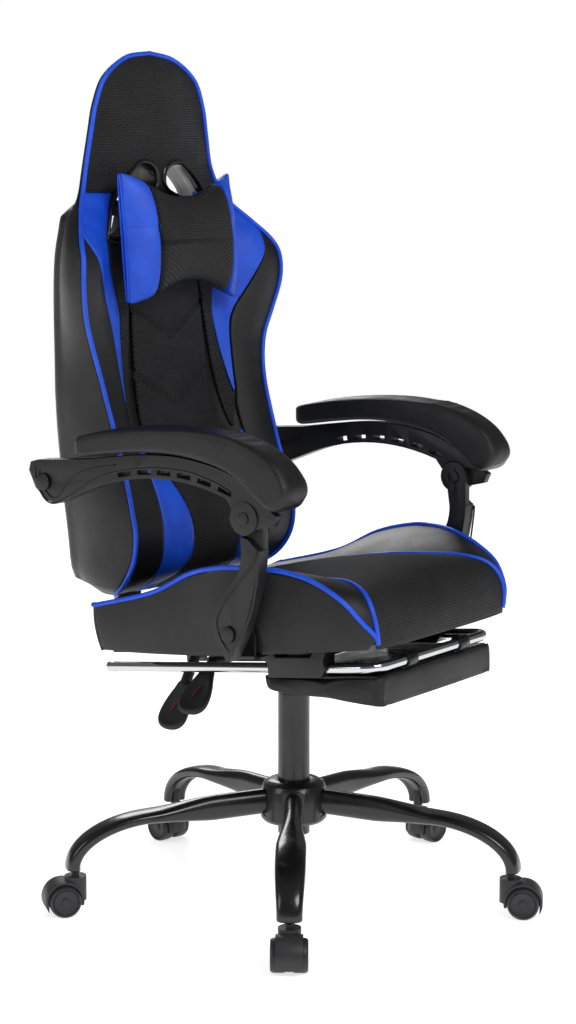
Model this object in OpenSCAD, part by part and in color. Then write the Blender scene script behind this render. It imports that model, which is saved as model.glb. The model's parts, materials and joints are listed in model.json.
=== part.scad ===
// Gaming chair: a five-legged base on twin-wheel casters, a gas lift, a bucket seat,
// a reclining winged back, armrests linked to the back, a head pillow on a strap,
// and a footrest that slides out from under the seat and turns over.
// It stands on the floor at z = 0 with the lift column on the Z axis, and faces -Y.

/* [Base] */
// Radius of the circle that the caster stems stand on
stem_circle_r = 353; // [320:1:400]
// Direction of the first leg, in degrees from +X
base_turn = 214.4; // [0:0.1:360]
// Radius of the hub
hub_r = 52; // [48:1:60]
// Height of the hub's top above the floor
hub_top = 187; // [170:1:210]
// Height of the hub itself
hub_h = 66; // [50:1:80]
// Height of a leg tube where it leaves the hub
leg_root_h = 40; // [30:1:44]
// Width of a leg tube where it leaves the hub
leg_root_w = 28; // [22:1:32]
// Thickness of a leg tube where it is pressed flat
leg_flat_h = 20; // [16:1:24]
// Width of a leg tube where it is pressed flat
leg_flat_w = 46; // [36:1:50]

/* [Casters] */
// Radius of a caster wheel
wheel_r = 25; // [22:1:30]
// Width over both wheels of a caster
caster_w = 56; // [48:1:62]
// Distance from the stem to the wheel centre
caster_trail = 20; // [14:1:26]
// Radius of a caster stem
stem_r = 5.5; // [4:0.5:6]

/* [Gas lift] */
// Outer radius of the fixed column tube
column_r = 25; // [22:0.5:28]
// Wall of the fixed column tube
column_wall = 1.5; // [1:0.5:3]
// Outer radius of the sliding gas chamber
chamber_r = 14; // [12:0.5:16]
// Wall of the gas chamber
chamber_wall = 3; // [2:0.5:4]
// Radius of the piston rod
rod_r = 5; // [4:0.5:6]
// Height of the column tube's top above the floor
column_top = 325; // [300:1:340]

/* [Seat] */
// Slope of the seat pan, front edge up, in degrees
pan_tilt = 6.7; // [3:0.1:9]
// Height of the seat pan's underside above the column's foot
pan_z = 427.5; // [420:0.5:460]
// Half of the seat's greatest width
seat_half_w = 262; // [245:1:262]
// How far the seat's centre lies below its side bolsters
seat_dish = 26; // [10:1:40]
// Thickness of the board inside the seat
board_t = 12; // [9:1:18]

/* [Back] */
// Distance from the column to the recline pin, to the rear
recline_y = 214; // [212:1:222]
// Height of the recline pin
recline_z = 400; // [396:1:404]
// Radius of the recline pin
recline_pin_r = 6; // [5:0.5:8]
// Depth of the back's rear face behind the column
back_rear_y = 331.5; // [325:0.5:345]
// Half width between the wings of the back
wing_inner_x = 150; // [142:1:160]
// Radius of the tubes of the frame inside the back
frame_r = 10; // [8:0.5:12]

/* [Armrests] */
// Distance from the chair's middle to the middle of an armrest
arm_x = 283; // [283:1:300]
// Thickness of the armrest beam
arm_t = 26; // [22:1:30]
// Width of an armrest pad
pad_w = 68; // [56:1:80]
// Radius of the pins that the armrests turn on
arm_pin_r = 5; // [4:0.5:6]
// Play of the post's lower hole round its pin, which the linkage needs
link_play = 4.4; // [4:0.1:6]

/* [Footrest] */
// Outer radius of the footrest tube
tube_r = 8; // [7:0.5:9]
// Half of the distance between the footrest rails
rail_x = 160; // [150:1:175]
// Length of the footrest pad
rest_len = 215; // [180:1:230]
// Thickness of the footrest pad at its hinged edge
rest_t = 46; // [36:1:54]

/* [Fits] */
// Gap all round a pin or rod that turns or slides
run_gap = 0.05; // [0.02:0.01:0.1]
// Gap between moving pieces that only pass each other
pass_gap = 0.5; // [0.3:0.1:1]

/* [Hidden] */
$fn = 64;
leg_count = 5;
hub_bottom = hub_top - hub_h;
hub_flat_r = hub_r - 3;
leg_root_z = hub_bottom + hub_h / 2;
leg_end_z = 72;
leg_end_r = stem_circle_r + 4;
bend_start_r = stem_circle_r - 133;
bend_z = leg_root_z - 9;
caster_turn = [0, 12, -10, 8, 0];
hood_r = wheel_r + 5;
hood_w = 40;
collar_top = 60;
socket_r = stem_r + 2.6;
column_bottom = 100;
chamber_bottom = 150;
chamber_top = 398;
socket_top = 408;
board_front = -265;
board_rear = 178;
board_half_w = seat_half_w - 34;
mech_half_w = 72;
rail_drop = 34;
rest_gap = tube_r + 5;
sleeve_below = tube_r + 4.3;
corner_r = 30;
cross_y = -257;
rail_rear = 248;
sleeve_front = -171;
sleeve_rear = -73;
arm_in = arm_x - arm_t / 2;
arm_out = arm_x + arm_t / 2;
pivot = [253, 672];
knuckle = [-124, 648];
post_foot = [-95, 477];
knuckle_r = 24;
knuckle_mid = arm_in + 12.7;
lever_z = 386;

// ---- helpers -------------------------------------------------------------------

// Direction of leg k, in degrees from +X.
function leg_dir(k) = base_turn + 360 / leg_count * k;

// Smooth step from 0 to 1 between a and b.
function ease(a, b, v) = let (t = min(1, max(0, (v - a) / (b - a)))) t * t * (3 - 2 * t);

// A smooth line through the points p, with n steps between each pair.
function bend(p, n = 3) = let (last = len(p) - 1) concat([for (i = [0:last - 1], k = [0:n - 1])
  let (
    a = p[max(0, i - 1)], b = p[i], c = p[i + 1], d = p[min(last, i + 2)], t = k / n
  ) 0.5 * (2 * b + (c - a) * t + (2 * a - 5 * b + 4 * c - d) * t * t
    + (3 * b - a - 3 * c + d) * t * t * t)], [p[last]]);

function mirrored(p) = concat(p, [for (i = [len(p) - 1:-1:0]) [-p[i][0], p[i][1]]]);

// A flat outline in Y and Z, made thick from x0 to x1.
module side_plate(x0, x1) {
  translate([x0, 0, 0]) rotate([90, 0, 90]) linear_extrude(x1 - x0) children();
}

// A flat outline in X and Z, made thick from y0 to y1.
module front_plate(y0, y1) {
  translate([0, y1, 0]) rotate([90, 0, 0]) linear_extrude(y1 - y0) children();
}

// A rod along X from x0 to x1 at (y, z).
module x_rod(x0, x1, y, z, r) {
  translate([x0, y, z]) rotate([0, 90, 0]) cylinder(h = x1 - x0, r = r);
}

// A rod along Y from y0 to y1 at (x, z).
module y_rod(y0, y1, x, z, r) {
  translate([x, y0, z]) rotate([-90, 0, 0]) cylinder(h = y1 - y0, r = r);
}

// Places its children on the seat pan: local Y runs along the pan and Z away from it.
module on_pan() { translate([0, 0, pan_z]) rotate([-pan_tilt, 0, 0]) children(); }

// side is 1 for the sitter's left and -1 for the right.
module on_side(side) {
  if (side > 0) children();
  else mirror([1, 0, 0]) children();
}

module at_stem(k) { rotate([0, 0, leg_dir(k)]) translate([stem_circle_r, 0, 0]) children(); }

// ---- base ----------------------------------------------------------------------

module hub() {
  color("#1c1c1e") difference() {
    rotate_extrude() polygon([
      [column_r, hub_bottom], [hub_r - 4, hub_bottom], [hub_r, hub_bottom + 5],
      [hub_r, hub_top - 14], [hub_r - 4, hub_top - 6], [hub_r - 12, hub_top - 1],
      [hub_r - 16, hub_top], [column_r, hub_top]
    ]);
    for (k = [0:leg_count - 1]) rotate([0, 0, leg_dir(k)])
      translate([hub_flat_r, -leg_root_w, leg_root_z - leg_root_h / 2 - 2])
        cube([hub_r, 2 * leg_root_w, leg_root_h + 4]);
  }
}

// The middle line of a leg: straight out from the hub, then a quarter of an ellipse.
function leg_middle(t) = t < 0.4
  ? [hub_flat_r + (bend_start_r - hub_flat_r) * t / 0.4, leg_root_z - 9 * t / 0.4, 90]
  : let (a = 90 * (t - 0.4) / 0.6) [
      bend_start_r + (leg_end_r - bend_start_r) * sin(a),
      leg_end_z + (bend_z - leg_end_z) * cos(a),
      atan2((leg_end_r - bend_start_r) * cos(a), (bend_z - leg_end_z) * sin(a))
    ];

// One ring of a leg's skin: an oval whose shape goes from tall to flat along the leg.
function leg_ring(t, sides) = let (
    m = leg_middle(t), flat = ease(0.18, 0.46, t), tip = ease(0.6, 1, t),
    h = leg_root_h + (leg_flat_h - leg_root_h) * flat + 2 * tip,
    w = leg_root_w + (leg_flat_w - leg_root_w) * flat - 8 * tip, tilt = 90 - m[2]
  ) [for (i = [0:sides - 1]) let (
      a = 360 / sides * i, u = w / 2 * cos(a), v = h / 2 * sin(a)
    ) [m[0] + v * sin(tilt), u, m[1] + v * cos(tilt)]];

module leg_tube(k, steps = 22, sides = 16) {
  rings = [for (i = [0:steps]) each leg_ring(i / steps, sides)];
  skin = [for (i = [0:steps - 1], j = [0:sides - 1]) let (n = (j + 1) % sides)
    [i * sides + j, i * sides + n, (i + 1) * sides + n, (i + 1) * sides + j]];
  ends = [[for (j = [sides - 1:-1:0]) j], [for (j = [0:sides - 1]) steps * sides + j]];
  color("#0c0c0d") rotate([0, 0, leg_dir(k)]) difference() {
    polyhedron(points = rings, faces = concat(skin, ends));
    translate([stem_circle_r, 0, leg_end_z - 20]) cylinder(h = 50, r = socket_r);
  }
}

// Sockets in the leg ends, each with a bore for a caster stem.
module stem_sockets() {
  color("#2b2b2d") for (k = [0:leg_count - 1]) at_stem(k) difference() {
    translate([0, 0, leg_end_z - 6]) cylinder(h = 34, r = socket_r);
    translate([0, 0, leg_end_z - 7]) cylinder(h = 32, r = stem_r + run_gap);
  }
}

module column_tube() {
  color("#222224") difference() {
    translate([0, 0, column_bottom]) cylinder(h = column_top - column_bottom, r = column_r);
    translate([0, 0, column_bottom + 3]) cylinder(h = 400, r = column_r - column_wall);
    translate([0, 0, column_bottom - 1]) cylinder(h = 5, r = rod_r + run_gap);
  }
}

module guide_bush() {
  color("#111111") difference() {
    union() {
      translate([0, 0, column_top - 90]) cylinder(h = 90, r = column_r - column_wall);
      translate([0, 0, column_top]) cylinder(h = 4, r = column_r);
    }
    translate([0, 0, column_top - 91]) cylinder(h = 100, r = chamber_r + run_gap);
  }
}

module thrust_bearing() {
  color("#b0b0b4") difference() {
    translate([0, 0, column_bottom + 3]) cylinder(h = 5, r = rod_r + 7);
    translate([0, 0, column_bottom + 2]) cylinder(h = 7, r = rod_r + run_gap);
  }
}

module piston_rod() {
  color("#c4c6ca") union() {
    translate([0, 0, column_bottom - 6]) cylinder(h = 200, r = rod_r);
    translate([0, 0, column_bottom + 190])
      cylinder(h = 10, r = chamber_r - chamber_wall - run_gap);
  }
}

module rod_clip() {
  color("#8a8c90") difference() {
    translate([0, 0, column_bottom - 3]) cylinder(h = 2.5, r = rod_r + 5);
    translate([0, 0, column_bottom - 4]) cylinder(h = 5, r = rod_r);
  }
}

module gas_chamber() {
  color("#1a1a1c") difference() {
    translate([0, 0, chamber_bottom]) cylinder(h = chamber_top - chamber_bottom, r = chamber_r);
    translate([0, 0, chamber_bottom + 8])
      cylinder(h = chamber_top - chamber_bottom - 14, r = chamber_r - chamber_wall);
    translate([0, 0, chamber_bottom - 1]) cylinder(h = 10, r = rod_r + run_gap);
  }
}

// ---- casters -------------------------------------------------------------------

module at_caster(k) { at_stem(k) rotate([0, 0, caster_turn[k]]) children(); }

// A round disc on the caster's axle line, from y0 to y1.
module axle_disc(y0, y1, r) { y_rod(y0, y1, caster_trail, wheel_r, r); }

module caster_hood(k) {
  color("#3a3a3d") at_caster(k) difference() {
    union() {
      axle_disc(-hood_w / 2, hood_w / 2, hood_r);
      translate([0, 0, 22]) cylinder(h = collar_top - 22, r = 17);
      cylinder(h = leg_end_z + 20, r = stem_r);
    }
    for (s = [-1, 1]) axle_disc(s > 0 ? 3.5 : -40, s > 0 ? 40 : -3.5, wheel_r + 1.2);
    translate([-60, -60, -60]) cube([120, 120, 69]);
    translate([caster_trail - 60, -60, -10]) cube([60 + wheel_r, 120, 27]);
    axle_disc(-30, 30, 3 + run_gap);
  }
}

module caster_wheels(k) {
  color("#2e2e30") at_caster(k) union() {
    for (s = [-1, 1]) {
      axle_disc(s > 0 ? 4.5 : -caster_w / 2 + 4, s > 0 ? caster_w / 2 - 4 : -4.5, wheel_r);
      axle_disc(s > 0 ? 20 : -caster_w / 2, s > 0 ? caster_w / 2 : -20, wheel_r - 4);
    }
    axle_disc(-6, 6, 3);
  }
}

// ---- seat ----------------------------------------------------------------------

module mech_shell() {
  translate([-mech_half_w, -78, -40]) cube([2 * mech_half_w, 240, 40]);
  translate([-100, -110, -3]) cube([200, 272, 3]);
}

module mechanism() {
  color("#1b1b1d") difference() {
    union() {
      difference() {
        on_pan() mech_shell();
        on_pan() translate([3 - mech_half_w, -75, -45]) cube([2 * mech_half_w - 6, 234, 42]);
      }
      difference() {
        translate([0, 0, 376]) cylinder(h = 60, r = chamber_r + 7);
        on_pan() translate([-50, -50, -2]) cube(100);
      }
      for (s = [-1, 1]) {
        side_plate(s > 0 ? 37 : -45, s > 0 ? 45 : -37) polygon([
          [120, recline_z - 14], [recline_y + 4, recline_z - recline_pin_r - 8],
          [recline_y + recline_pin_r + 7, recline_z - 5], [recline_y + recline_pin_r + 7, recline_z + 9],
          [recline_y - 8, recline_z + 9], [recline_y - 13, recline_z + 1], [120, recline_z + 1]
        ]);
      }
    }
    translate([0, 0, 300]) cylinder(h = chamber_top - 300, r = chamber_r);
    x_rod(-60, 60, recline_y, recline_z, recline_pin_r);
    for (x = [-84, 84], y = [-90, 0, 90]) on_pan() translate([x, y, -10]) cylinder(h = 12, r = 4);
    for (y = [70, 118]) x_rod(-90, -60, y, lever_z, 7);
  }
}

module recline_pin() {
  color("#9a9ca0") union() {
    x_rod(-52, 52, recline_y, recline_z, recline_pin_r);
    x_rod(45, 52, recline_y, recline_z, recline_pin_r + 3);
    x_rod(-52, -45, recline_y, recline_z, recline_pin_r + 3);
  }
}

// Half of the board's outline, which keeps inside the seat's.
board_plan = [
  [0, board_rear], [board_half_w, board_rear], [board_half_w, -90], [board_half_w - 9, -150],
  [board_half_w - 25, -215], [board_half_w - 50, -246], [board_half_w - 78, board_front + 3],
  [0, board_front]
];

module seat_board() {
  color("#a98555") difference() {
    on_pan() linear_extrude(board_t) polygon(mirrored(board_plan));
    for (x = [-84, 84], y = [-90, 0, 90]) on_pan() translate([x, y, -1]) cylinder(h = 9, r = 4);
  }
}

module pan_bolts() {
  color("#77797d") for (x = [-84, 84], y = [-90, 0, 90]) on_pan() translate([x, y, -6]) union() {
    cylinder(h = 3, r = 7);
    cylinder(h = 14, r = 4);
  }
}

// Half of the seat's outline seen from above, from the rear middle to the front middle.
seat_plan = [
  [0, 200], [215, 200], [238, 188], [248, 160], [seat_half_w - 10, 60], [seat_half_w - 2, -10],
  [seat_half_w, -40], [seat_half_w - 7, -72], [seat_half_w - 15, -100], [seat_half_w - 27, -140],
  [seat_half_w - 38, -185], [seat_half_w - 46, -235], [190, -264], [165, -276], [0, -281]
];
// The tops of the side bolsters and of the dished middle, seen from the side.
bolster_top = [[202, 476], [150, 492], [86, 512], [10, 551], [-50, 567], [-135, 567],
  [-196, 552], [-237, 528], [-262, 496], [-276, 470]];
middle_top = [[202, 470], [150, 482], [60, 506 + 26 - seat_dish], [-40, 524 + 26 - seat_dish],
  [-130, 541 + 26 - seat_dish], [-190, 545], [-240, 538], [-268, 515], [-281, 478]];

module seat_side(top) { polygon(concat([[-290, 300], [210, 300]], bend(top))); }

module seat_cushion() {
  color("#1d1d1f") difference() {
    intersection() {
      union() {
        side_plate(-150, 150) seat_side(middle_top);
        side_plate(150, 300) seat_side(bolster_top);
        side_plate(-300, -150) seat_side(bolster_top);
      }
      translate([0, 0, 300]) linear_extrude(400) polygon(mirrored(seat_plan));
      on_pan() translate([-400, -400, 0]) cube([800, 800, 400]);
    }
    on_pan() translate([0, 0, -1]) linear_extrude(board_t + 1) polygon(mirrored(board_plan));
  }
}

// ---- armrest posts' brackets on the seat ----------------------------------------

bracket_x = arm_in - 14;

module post_bracket(side) {
  color("#1f1f21") on_side(side) union() {
    on_pan() translate([rail_x + 16, -115, -4]) cube([bracket_x - rail_x - 12, 40, 4]);
    side_plate(bracket_x, bracket_x + 4) polygon([
      [post_foot[0] - 20, 438], [post_foot[0] + 20, 433], [post_foot[0] + 20, 470],
      [post_foot[0] + 12, 489], [post_foot[0] - 12, 489], [post_foot[0] - 20, 470]
    ]);
  }
}

// The pin that the post's foot hangs on, with the round cap that keeps the post on it.
module post_cap(side) {
  color("#161617") on_side(side) union() {
    x_rod(bracket_x + 4, arm_out + 1, post_foot[0], post_foot[1], arm_pin_r);
    x_rod(arm_out + 1, arm_out + 4, post_foot[0], post_foot[1], arm_pin_r + link_play + 2);
  }
}

// ---- footrest ------------------------------------------------------------------

module sleeve_side() {
  difference() {
    polygon([
      [-42, 0], [-52, -5], [-64, -20], [sleeve_rear, -24], [sleeve_rear, -rail_drop - sleeve_below],
      [sleeve_front + 4, -rail_drop - sleeve_below], [sleeve_front - 4, -rail_drop - 4],
      [sleeve_front - 4, -20], [sleeve_front - 10, -6], [sleeve_front - 12, 0]
    ]);
    polygon([[-78, 1], [-78, -3], [-90, -16], [-152, -16], [-162, -3], [-162, 1]]);
  }
}

module footrest_sleeve(side) {
  color("#242426") on_side(side) on_pan() difference() {
    side_plate(rail_x - 15, rail_x + 15) sleeve_side();
    y_rod(-300, 0, rail_x, -rail_drop, tube_r + run_gap);
  }
}

// The bent tube's path, solid at radius r: two rails, two corners and the front bar.
module bent_tube(r, extra) {
  for (s = [-1, 1]) {
    y_rod(cross_y + corner_r, rail_rear + extra, s * rail_x, -rail_drop, r);
    translate([s * (rail_x - corner_r), cross_y + corner_r, -rail_drop])
      rotate([0, 0, s > 0 ? -90 : 180]) rotate_extrude(angle = 90)
        translate([corner_r, 0]) circle(r = r);
  }
  x_rod(corner_r - rail_x, rail_x - corner_r, cross_y, -rail_drop, r);
}

module footrest_tube() {
  color("#d5d7da") on_pan() difference() {
    bent_tube(tube_r, 0);
    for (s = [-1, 1]) {
      y_rod(cross_y + corner_r, rail_rear + 1, s * rail_x, -rail_drop, tube_r - 1.5);
      translate([s * rail_x, rail_rear - 12, -rail_drop - 20]) cylinder(h = 40, r = 3);
    }
  }
}

// Stop pins across the rear ends of the rails.
module rail_stops() {
  color("#808286") for (s = [-1, 1]) on_pan()
    translate([s * rail_x, rail_rear - 12, -rail_drop - tube_r]) cylinder(h = 2 * tube_r, r = 3);
}

module footrest_board() {
  color("#151516") on_pan() difference() {
    union() {
      translate([-rail_x + 8, cross_y + 4, -rail_drop - rest_gap - 6])
        cube([2 * rail_x - 16, rest_len - 12, 6]);
      for (x = [-85, 61]) {
        x_rod(x, x + 24, cross_y, -rail_drop, tube_r + 3);
        translate([x, cross_y + 4, -rail_drop - rest_gap - 0.5]) cube([24, 7, rest_gap]);
      }
    }
    x_rod(-200, 200, cross_y, -rail_drop, tube_r + run_gap);
  }
}

module footrest_pad() {
  color("#202022") on_pan() translate([0, 0, -rail_drop - rest_gap]) difference() {
    side_plate(-rail_x, rail_x) polygon([
      [cross_y - 5, 0], [cross_y - 6, -8], [cross_y - 2, 4 - rest_t], [cross_y + 4, -rest_t],
      [cross_y + rest_len - 30, -rest_t + 18], [cross_y + rest_len - 12, -rest_t + 24],
      [cross_y + rest_len - 5, -8], [cross_y + rest_len - 6, 0]
    ]);
    translate([-rail_x + 8, cross_y + 4, -6]) cube([2 * rail_x - 16, rest_len - 12, 7]);
  }
}

// ---- back ----------------------------------------------------------------------

module back_bar() {
  color("#19191b") difference() {
    union() {
      x_rod(-35, 35, recline_y, recline_z, recline_pin_r + 6);
      translate([-30, recline_y, recline_z - 5]) cube([60, back_rear_y + 8.5 - recline_y, 10]);
      translate([-30, back_rear_y + 0.5, recline_z - 5]) cube([60, 8, 245]);
    }
    x_rod(-40, 40, recline_y, recline_z, recline_pin_r + run_gap);
    for (x = [-18, 18], z = [520, 600]) y_rod(back_rear_y, back_rear_y + 20, x, z, 4);
  }
}

module frame_shape() {
  for (s = [-1, 1]) translate([s * 135, 250, 500]) rotate([-5.6, 0, 0]) cylinder(h = 500, r = frame_r);
  for (z = [520, 600, 980]) x_rod(-135, 135, 250 + (z - 500) * 0.098, z, frame_r);
  x_rod(-200, 200, pivot[0], pivot[1], frame_r);
}

module bolt_shape() {
  for (x = [-18, 18], z = [520, 600]) {
    y_rod(268 + (z - 520) / 10, back_rear_y + 9, x, z, 4);
    y_rod(back_rear_y + 8.5, back_rear_y + 12.5, x, z, 7);
  }
}

module back_frame() {
  color("#3c3d40") difference() {
    frame_shape();
    bolt_shape();
  }
}

module back_bolts() { color("#77797d") bolt_shape(); }

// Half of the back's outline seen from the front, from the top middle down.
back_edge = [[0, 1323], [60, 1314], [112, 1284], [136, 1240], [146, 1199], [158, 1146],
  [174, 1107], [192, 1083], [218, 1056], [243, 1026], [253, 995], [253, 958], [240, 912],
  [222, 868], [210, 820], [205, 760], [204, 674], [207, 620], [209, 560], [205, 515],
  [190, 488], [160, 476], [0, 474]];
// Front faces of the wings and of the sunken middle, seen from the side, top to bottom.
wing_front = [[282, 1321], [279, 1283], [281, 1199], [282, 1146], [275, 1107], [264, 1083],
  [243, 1056], [220, 1026], [209, 1001], [208, 961], [216, 904], [218, 860], [208, 799],
  [190, 735], [169, 665], [157, 623], [149, 584], [155, 543], [179, 507], [205, 488], [222, 474]];
middle_front = [[282, 1323], [270, 1283], [266, 1199], [266, 1100], [258, 1000], [250, 926],
  [238, 800], [224, 740], [196, 690], [167, 640], [152, 600], [148, 565], [154, 535],
  [174, 510], [205, 490], [222, 474]];
back_rear = [[230, 470], [300, 470], [back_rear_y - 9, 484], [back_rear_y, 510],
  [back_rear_y, 940], [back_rear_y - 14, 1060], [back_rear_y - 27, 1160], [302, 1240],
  [294, 1300], [289, 1325]];

module back_side(front) { polygon(concat(bend(front), back_rear)); }

// The belt hole's rim on the +X side: a slot that runs outwards and down.
belt_hole = [[11, 1122], [18, 1140], [40, 1148], [62, 1142], [107, 1102], [131, 1050],
  [129, 1036], [92, 1036], [84, 1070], [60, 1092], [20, 1108]];

module back_cushion() {
  color("#1e1e20") difference() {
    intersection() {
      union() {
        side_plate(-wing_inner_x, wing_inner_x) back_side(middle_front);
        side_plate(wing_inner_x, 300) back_side(wing_front);
        side_plate(-300, -wing_inner_x) back_side(wing_front);
      }
      front_plate(100, 400) polygon(mirrored(bend(back_edge)));
    }
    for (s = [-1, 1]) on_side(s) front_plate(200, 400) polygon(belt_hole);
    frame_shape();
    bolt_shape();
    for (s = [-1, 1]) on_side(s) x_rod(199, 300, pivot[0], pivot[1], frame_r);
  }
}

module belt_bezel(side) {
  color("#262628") on_side(side) difference() {
    front_plate(256, back_rear_y - 10) polygon(belt_hole);
    front_plate(250, back_rear_y) offset(delta = -5) polygon(belt_hole);
  }
}

// The rear pivot of an armrest: spacer, pin and round cap.
module arm_pivot(side) {
  color("#1a1a1b") on_side(side) union() {
    x_rod(200, arm_in - pass_gap, pivot[0], pivot[1], frame_r);
    x_rod(arm_in - 1, arm_out + 1, pivot[0], pivot[1], arm_pin_r);
    x_rod(arm_out + pass_gap, arm_out + 5, pivot[0], pivot[1], 13);
  }
}

// ---- armrests ------------------------------------------------------------------

// The line along which the pad sits on the beam, from the rear to the front.
arm_top = [[175, 711], [110, 720], [55, 726], [0, 727], [-50, 721], [-95, 710], [-128, 693],
  [-155, 671], [-172, 660]];
arch_y = 25;
arch_z = 693;
function arch(y) = arch_z - 0.0014 * (y - arch_y) * (y - arch_y);

module arm_web() {
  difference() {
    polygon(concat(
      [[264, 705]], bend(arm_top), [[-180, 655], [-173, 640], [-148, 634]],
      [[-112, 640], [-100, 662]], [for (y = [-90:20:170]) [y, arch(y)]],
      [[200, 652], [229, 640], [250, 645], [270, 662], [283, 688], [279, 701]]
    ));
    for (i = [0:5]) translate([96 - 37 * i, arch(96 - 37 * i) + 9])
      rotate(-0.16 * (96 - 37 * i - arch_y)) square([25, 7], center = true);
  }
}

module arm_frame(side) {
  color("#232325") on_side(side) difference() {
    union() {
      side_plate(arm_in, arm_out) arm_web();
      x_rod(knuckle_mid, arm_out + 3, knuckle[0], knuckle[1], knuckle_r);
    }
    x_rod(arm_in - 1, knuckle_mid, knuckle[0], knuckle[1], knuckle_r + 1.5);
    side_plate(arm_in - 1, knuckle_mid) polygon([[-124, 600], [-124, 664], [-210, 664], [-210, 600]]);
    x_rod(arm_in - 1, arm_out + 9, knuckle[0], knuckle[1], arm_pin_r);
    x_rod(arm_in - 1, arm_out + 1, pivot[0], pivot[1], arm_pin_r + run_gap);
  }
}

module arm_pad(side) {
  color("#1b1b1c") on_side(side) side_plate(arm_x - pad_w / 2, arm_x + pad_w / 2) polygon(concat(
    bend(arm_top), [[-192, 664], [-206, 673], [-213, 688], [-206, 708], [-182, 733], [-146, 753],
    [-100, 767], [-50, 773], [0, 774], [60, 770], [110, 763], [150, 754], [176, 742], [183, 727]]
  ));
}

// The pin of the front joint, held by the beam, with a flange behind the post's eye.
module knuckle_bolt(side) {
  color("#2a2a2c") on_side(side) union() {
    x_rod(arm_in - 3, arm_out + 5, knuckle[0], knuckle[1], arm_pin_r);
    x_rod(arm_in - 4, arm_in - 0.5, knuckle[0], knuckle[1], 10);
    x_rod(arm_out + 3, arm_out + 5, knuckle[0], knuckle[1], 9);
  }
}

post_rear_edge = [[-116, 621], [-117, 593], [-110, 565], [-88, 536], [-68, 510], [-65, 488],
  [-76, 460], [-91, 436]];
post_front_edge = [[-95, 436], [-117, 478], [-130, 514], [-139, 545], [-145, 575], [-148, 602]];

module arm_post(side) {
  color("#222224") on_side(side) difference() {
    union() {
      x_rod(arm_in, knuckle_mid - 0.2, knuckle[0], knuckle[1], knuckle_r);
      side_plate(arm_in, arm_out - 1) polygon(concat(
        bend(post_rear_edge), bend(post_front_edge), [[-128, 618]]));
      side_plate(arm_in, knuckle_mid - 0.2) polygon(
        [[-117, 600], [-147, 600], [-147, 648], [-110, 648]]);
    }
    x_rod(knuckle_mid - 0.2, arm_out + 1, knuckle[0], knuckle[1], knuckle_r + 1);
    x_rod(arm_in - 1, arm_out, knuckle[0], knuckle[1], arm_pin_r + run_gap);
    x_rod(arm_in - 1, arm_out + 1, post_foot[0], post_foot[1], arm_pin_r + link_play);
  }
}

// ---- levers --------------------------------------------------------------------

// A lever rod that comes out of the mechanism on the right and turns down.
module lever(y, x_turn, slope, reach) {
  union() {
    x_rod(x_turn + 8, -62, y, lever_z, 4);
    translate([x_turn, y, lever_z]) rotate([0, 270 - slope, 0]) cylinder(h = reach, r = 4);
    x_rod(x_turn - 5, -76, y, lever_z, 6.5);
  }
}

module grip(y, x_turn, slope, start, size) {
  translate([x_turn, y, lever_z]) rotate([0, 270 - slope, 0]) difference() {
    translate([-5, -size[1] / 2, start]) cube([10, size[1], size[0]]);
    translate([0, 0, start - 1]) cylinder(h = 31, r = 4);
  }
}

module lift_lever() { color("#111112") lever(70, -118, 48, 50); }
module lift_grip() { color("#1c1c1d") grip(70, -118, 48, 20, [68, 46]); }
module recline_lever() { color("#111112") lever(118, -100, 56, 80); }
module recline_grip() { color("#1c1c1d") grip(118, -100, 56, 50, [74, 44]); }

// ---- head pillow ---------------------------------------------------------------

strap_x = 98;

module head_pillow() {
  color("#1a3fb0") side_plate(-138, 138) polygon(bend([
    [207, 938], [232, 950], [246, 985], [248, 1040], [247, 1090], [242, 1122], [232, 1133],
    [214, 1122], [190, 1090], [176, 1045], [174, 1000], [184, 962], [207, 938]
  ]));
}

module pillow_strap() {
  color("#101011") difference() {
    translate([-strap_x, 240, 1068]) cube([2 * strap_x, 86, 22]);
    translate([3 - strap_x, 230, 1060]) cube([2 * strap_x - 6, 93, 40]);
    front_plate(200, 248.5) polygon([[-140, 900], [140, 900], [140, 1200], [-140, 1200]]);
  }
}

// ---- nodes ---------------------------------------------------------------------

hub();
column_tube();
guide_bush();
thrust_bearing();
stem_sockets();
for (k = [1:leg_count]) leg_tube(k - 1);
for (k = [1:leg_count]) caster_hood(k - 1);
for (k = [1:leg_count]) caster_wheels(k - 1);
piston_rod();
rod_clip();
gas_chamber();
mechanism();
recline_pin();
seat_board();
seat_cushion();
pan_bolts();
post_bracket(-1);  // post_bracket_right
post_bracket(1);  // post_bracket_left
post_cap(-1);  // post_cap_right
post_cap(1);  // post_cap_left
footrest_sleeve(-1);  // footrest_sleeve_right
footrest_sleeve(1);  // footrest_sleeve_left
footrest_tube();
rail_stops();
footrest_board();
footrest_pad();
back_bar();
back_frame();
back_cushion();
back_bolts();
belt_bezel(-1);  // belt_bezel_right
belt_bezel(1);  // belt_bezel_left
arm_pivot(-1);  // arm_pivot_right
arm_pivot(1);  // arm_pivot_left
arm_frame(-1);  // arm_frame_right
arm_frame(1);  // arm_frame_left
arm_pad(-1);  // arm_pad_right
arm_pad(1);  // arm_pad_left
knuckle_bolt(-1);  // knuckle_bolt_right
knuckle_bolt(1);  // knuckle_bolt_left
arm_post(-1);  // arm_post_right
arm_post(1);  // arm_post_left
lift_lever();
lift_grip();
recline_lever();
recline_grip();
head_pillow();
pillow_strap();
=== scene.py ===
# %% [markdown]
# # A gaming chair around its working frame
# The frame holds every tube, hinge, wheel and lever of the chair at its true size.
# This lesson dresses that frame. Upholstery is sewn from separate panels, metal and plastic get
# their finishes, and the stitches, ribs and piping that make the chair look real are added.
# Every length below is in millimetres, in the same axes as the frame: the chair faces -Y,
# +Z is up, and +X is the sitter's left.

# %% Load the frame
import json
import math
from functools import partial

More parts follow.
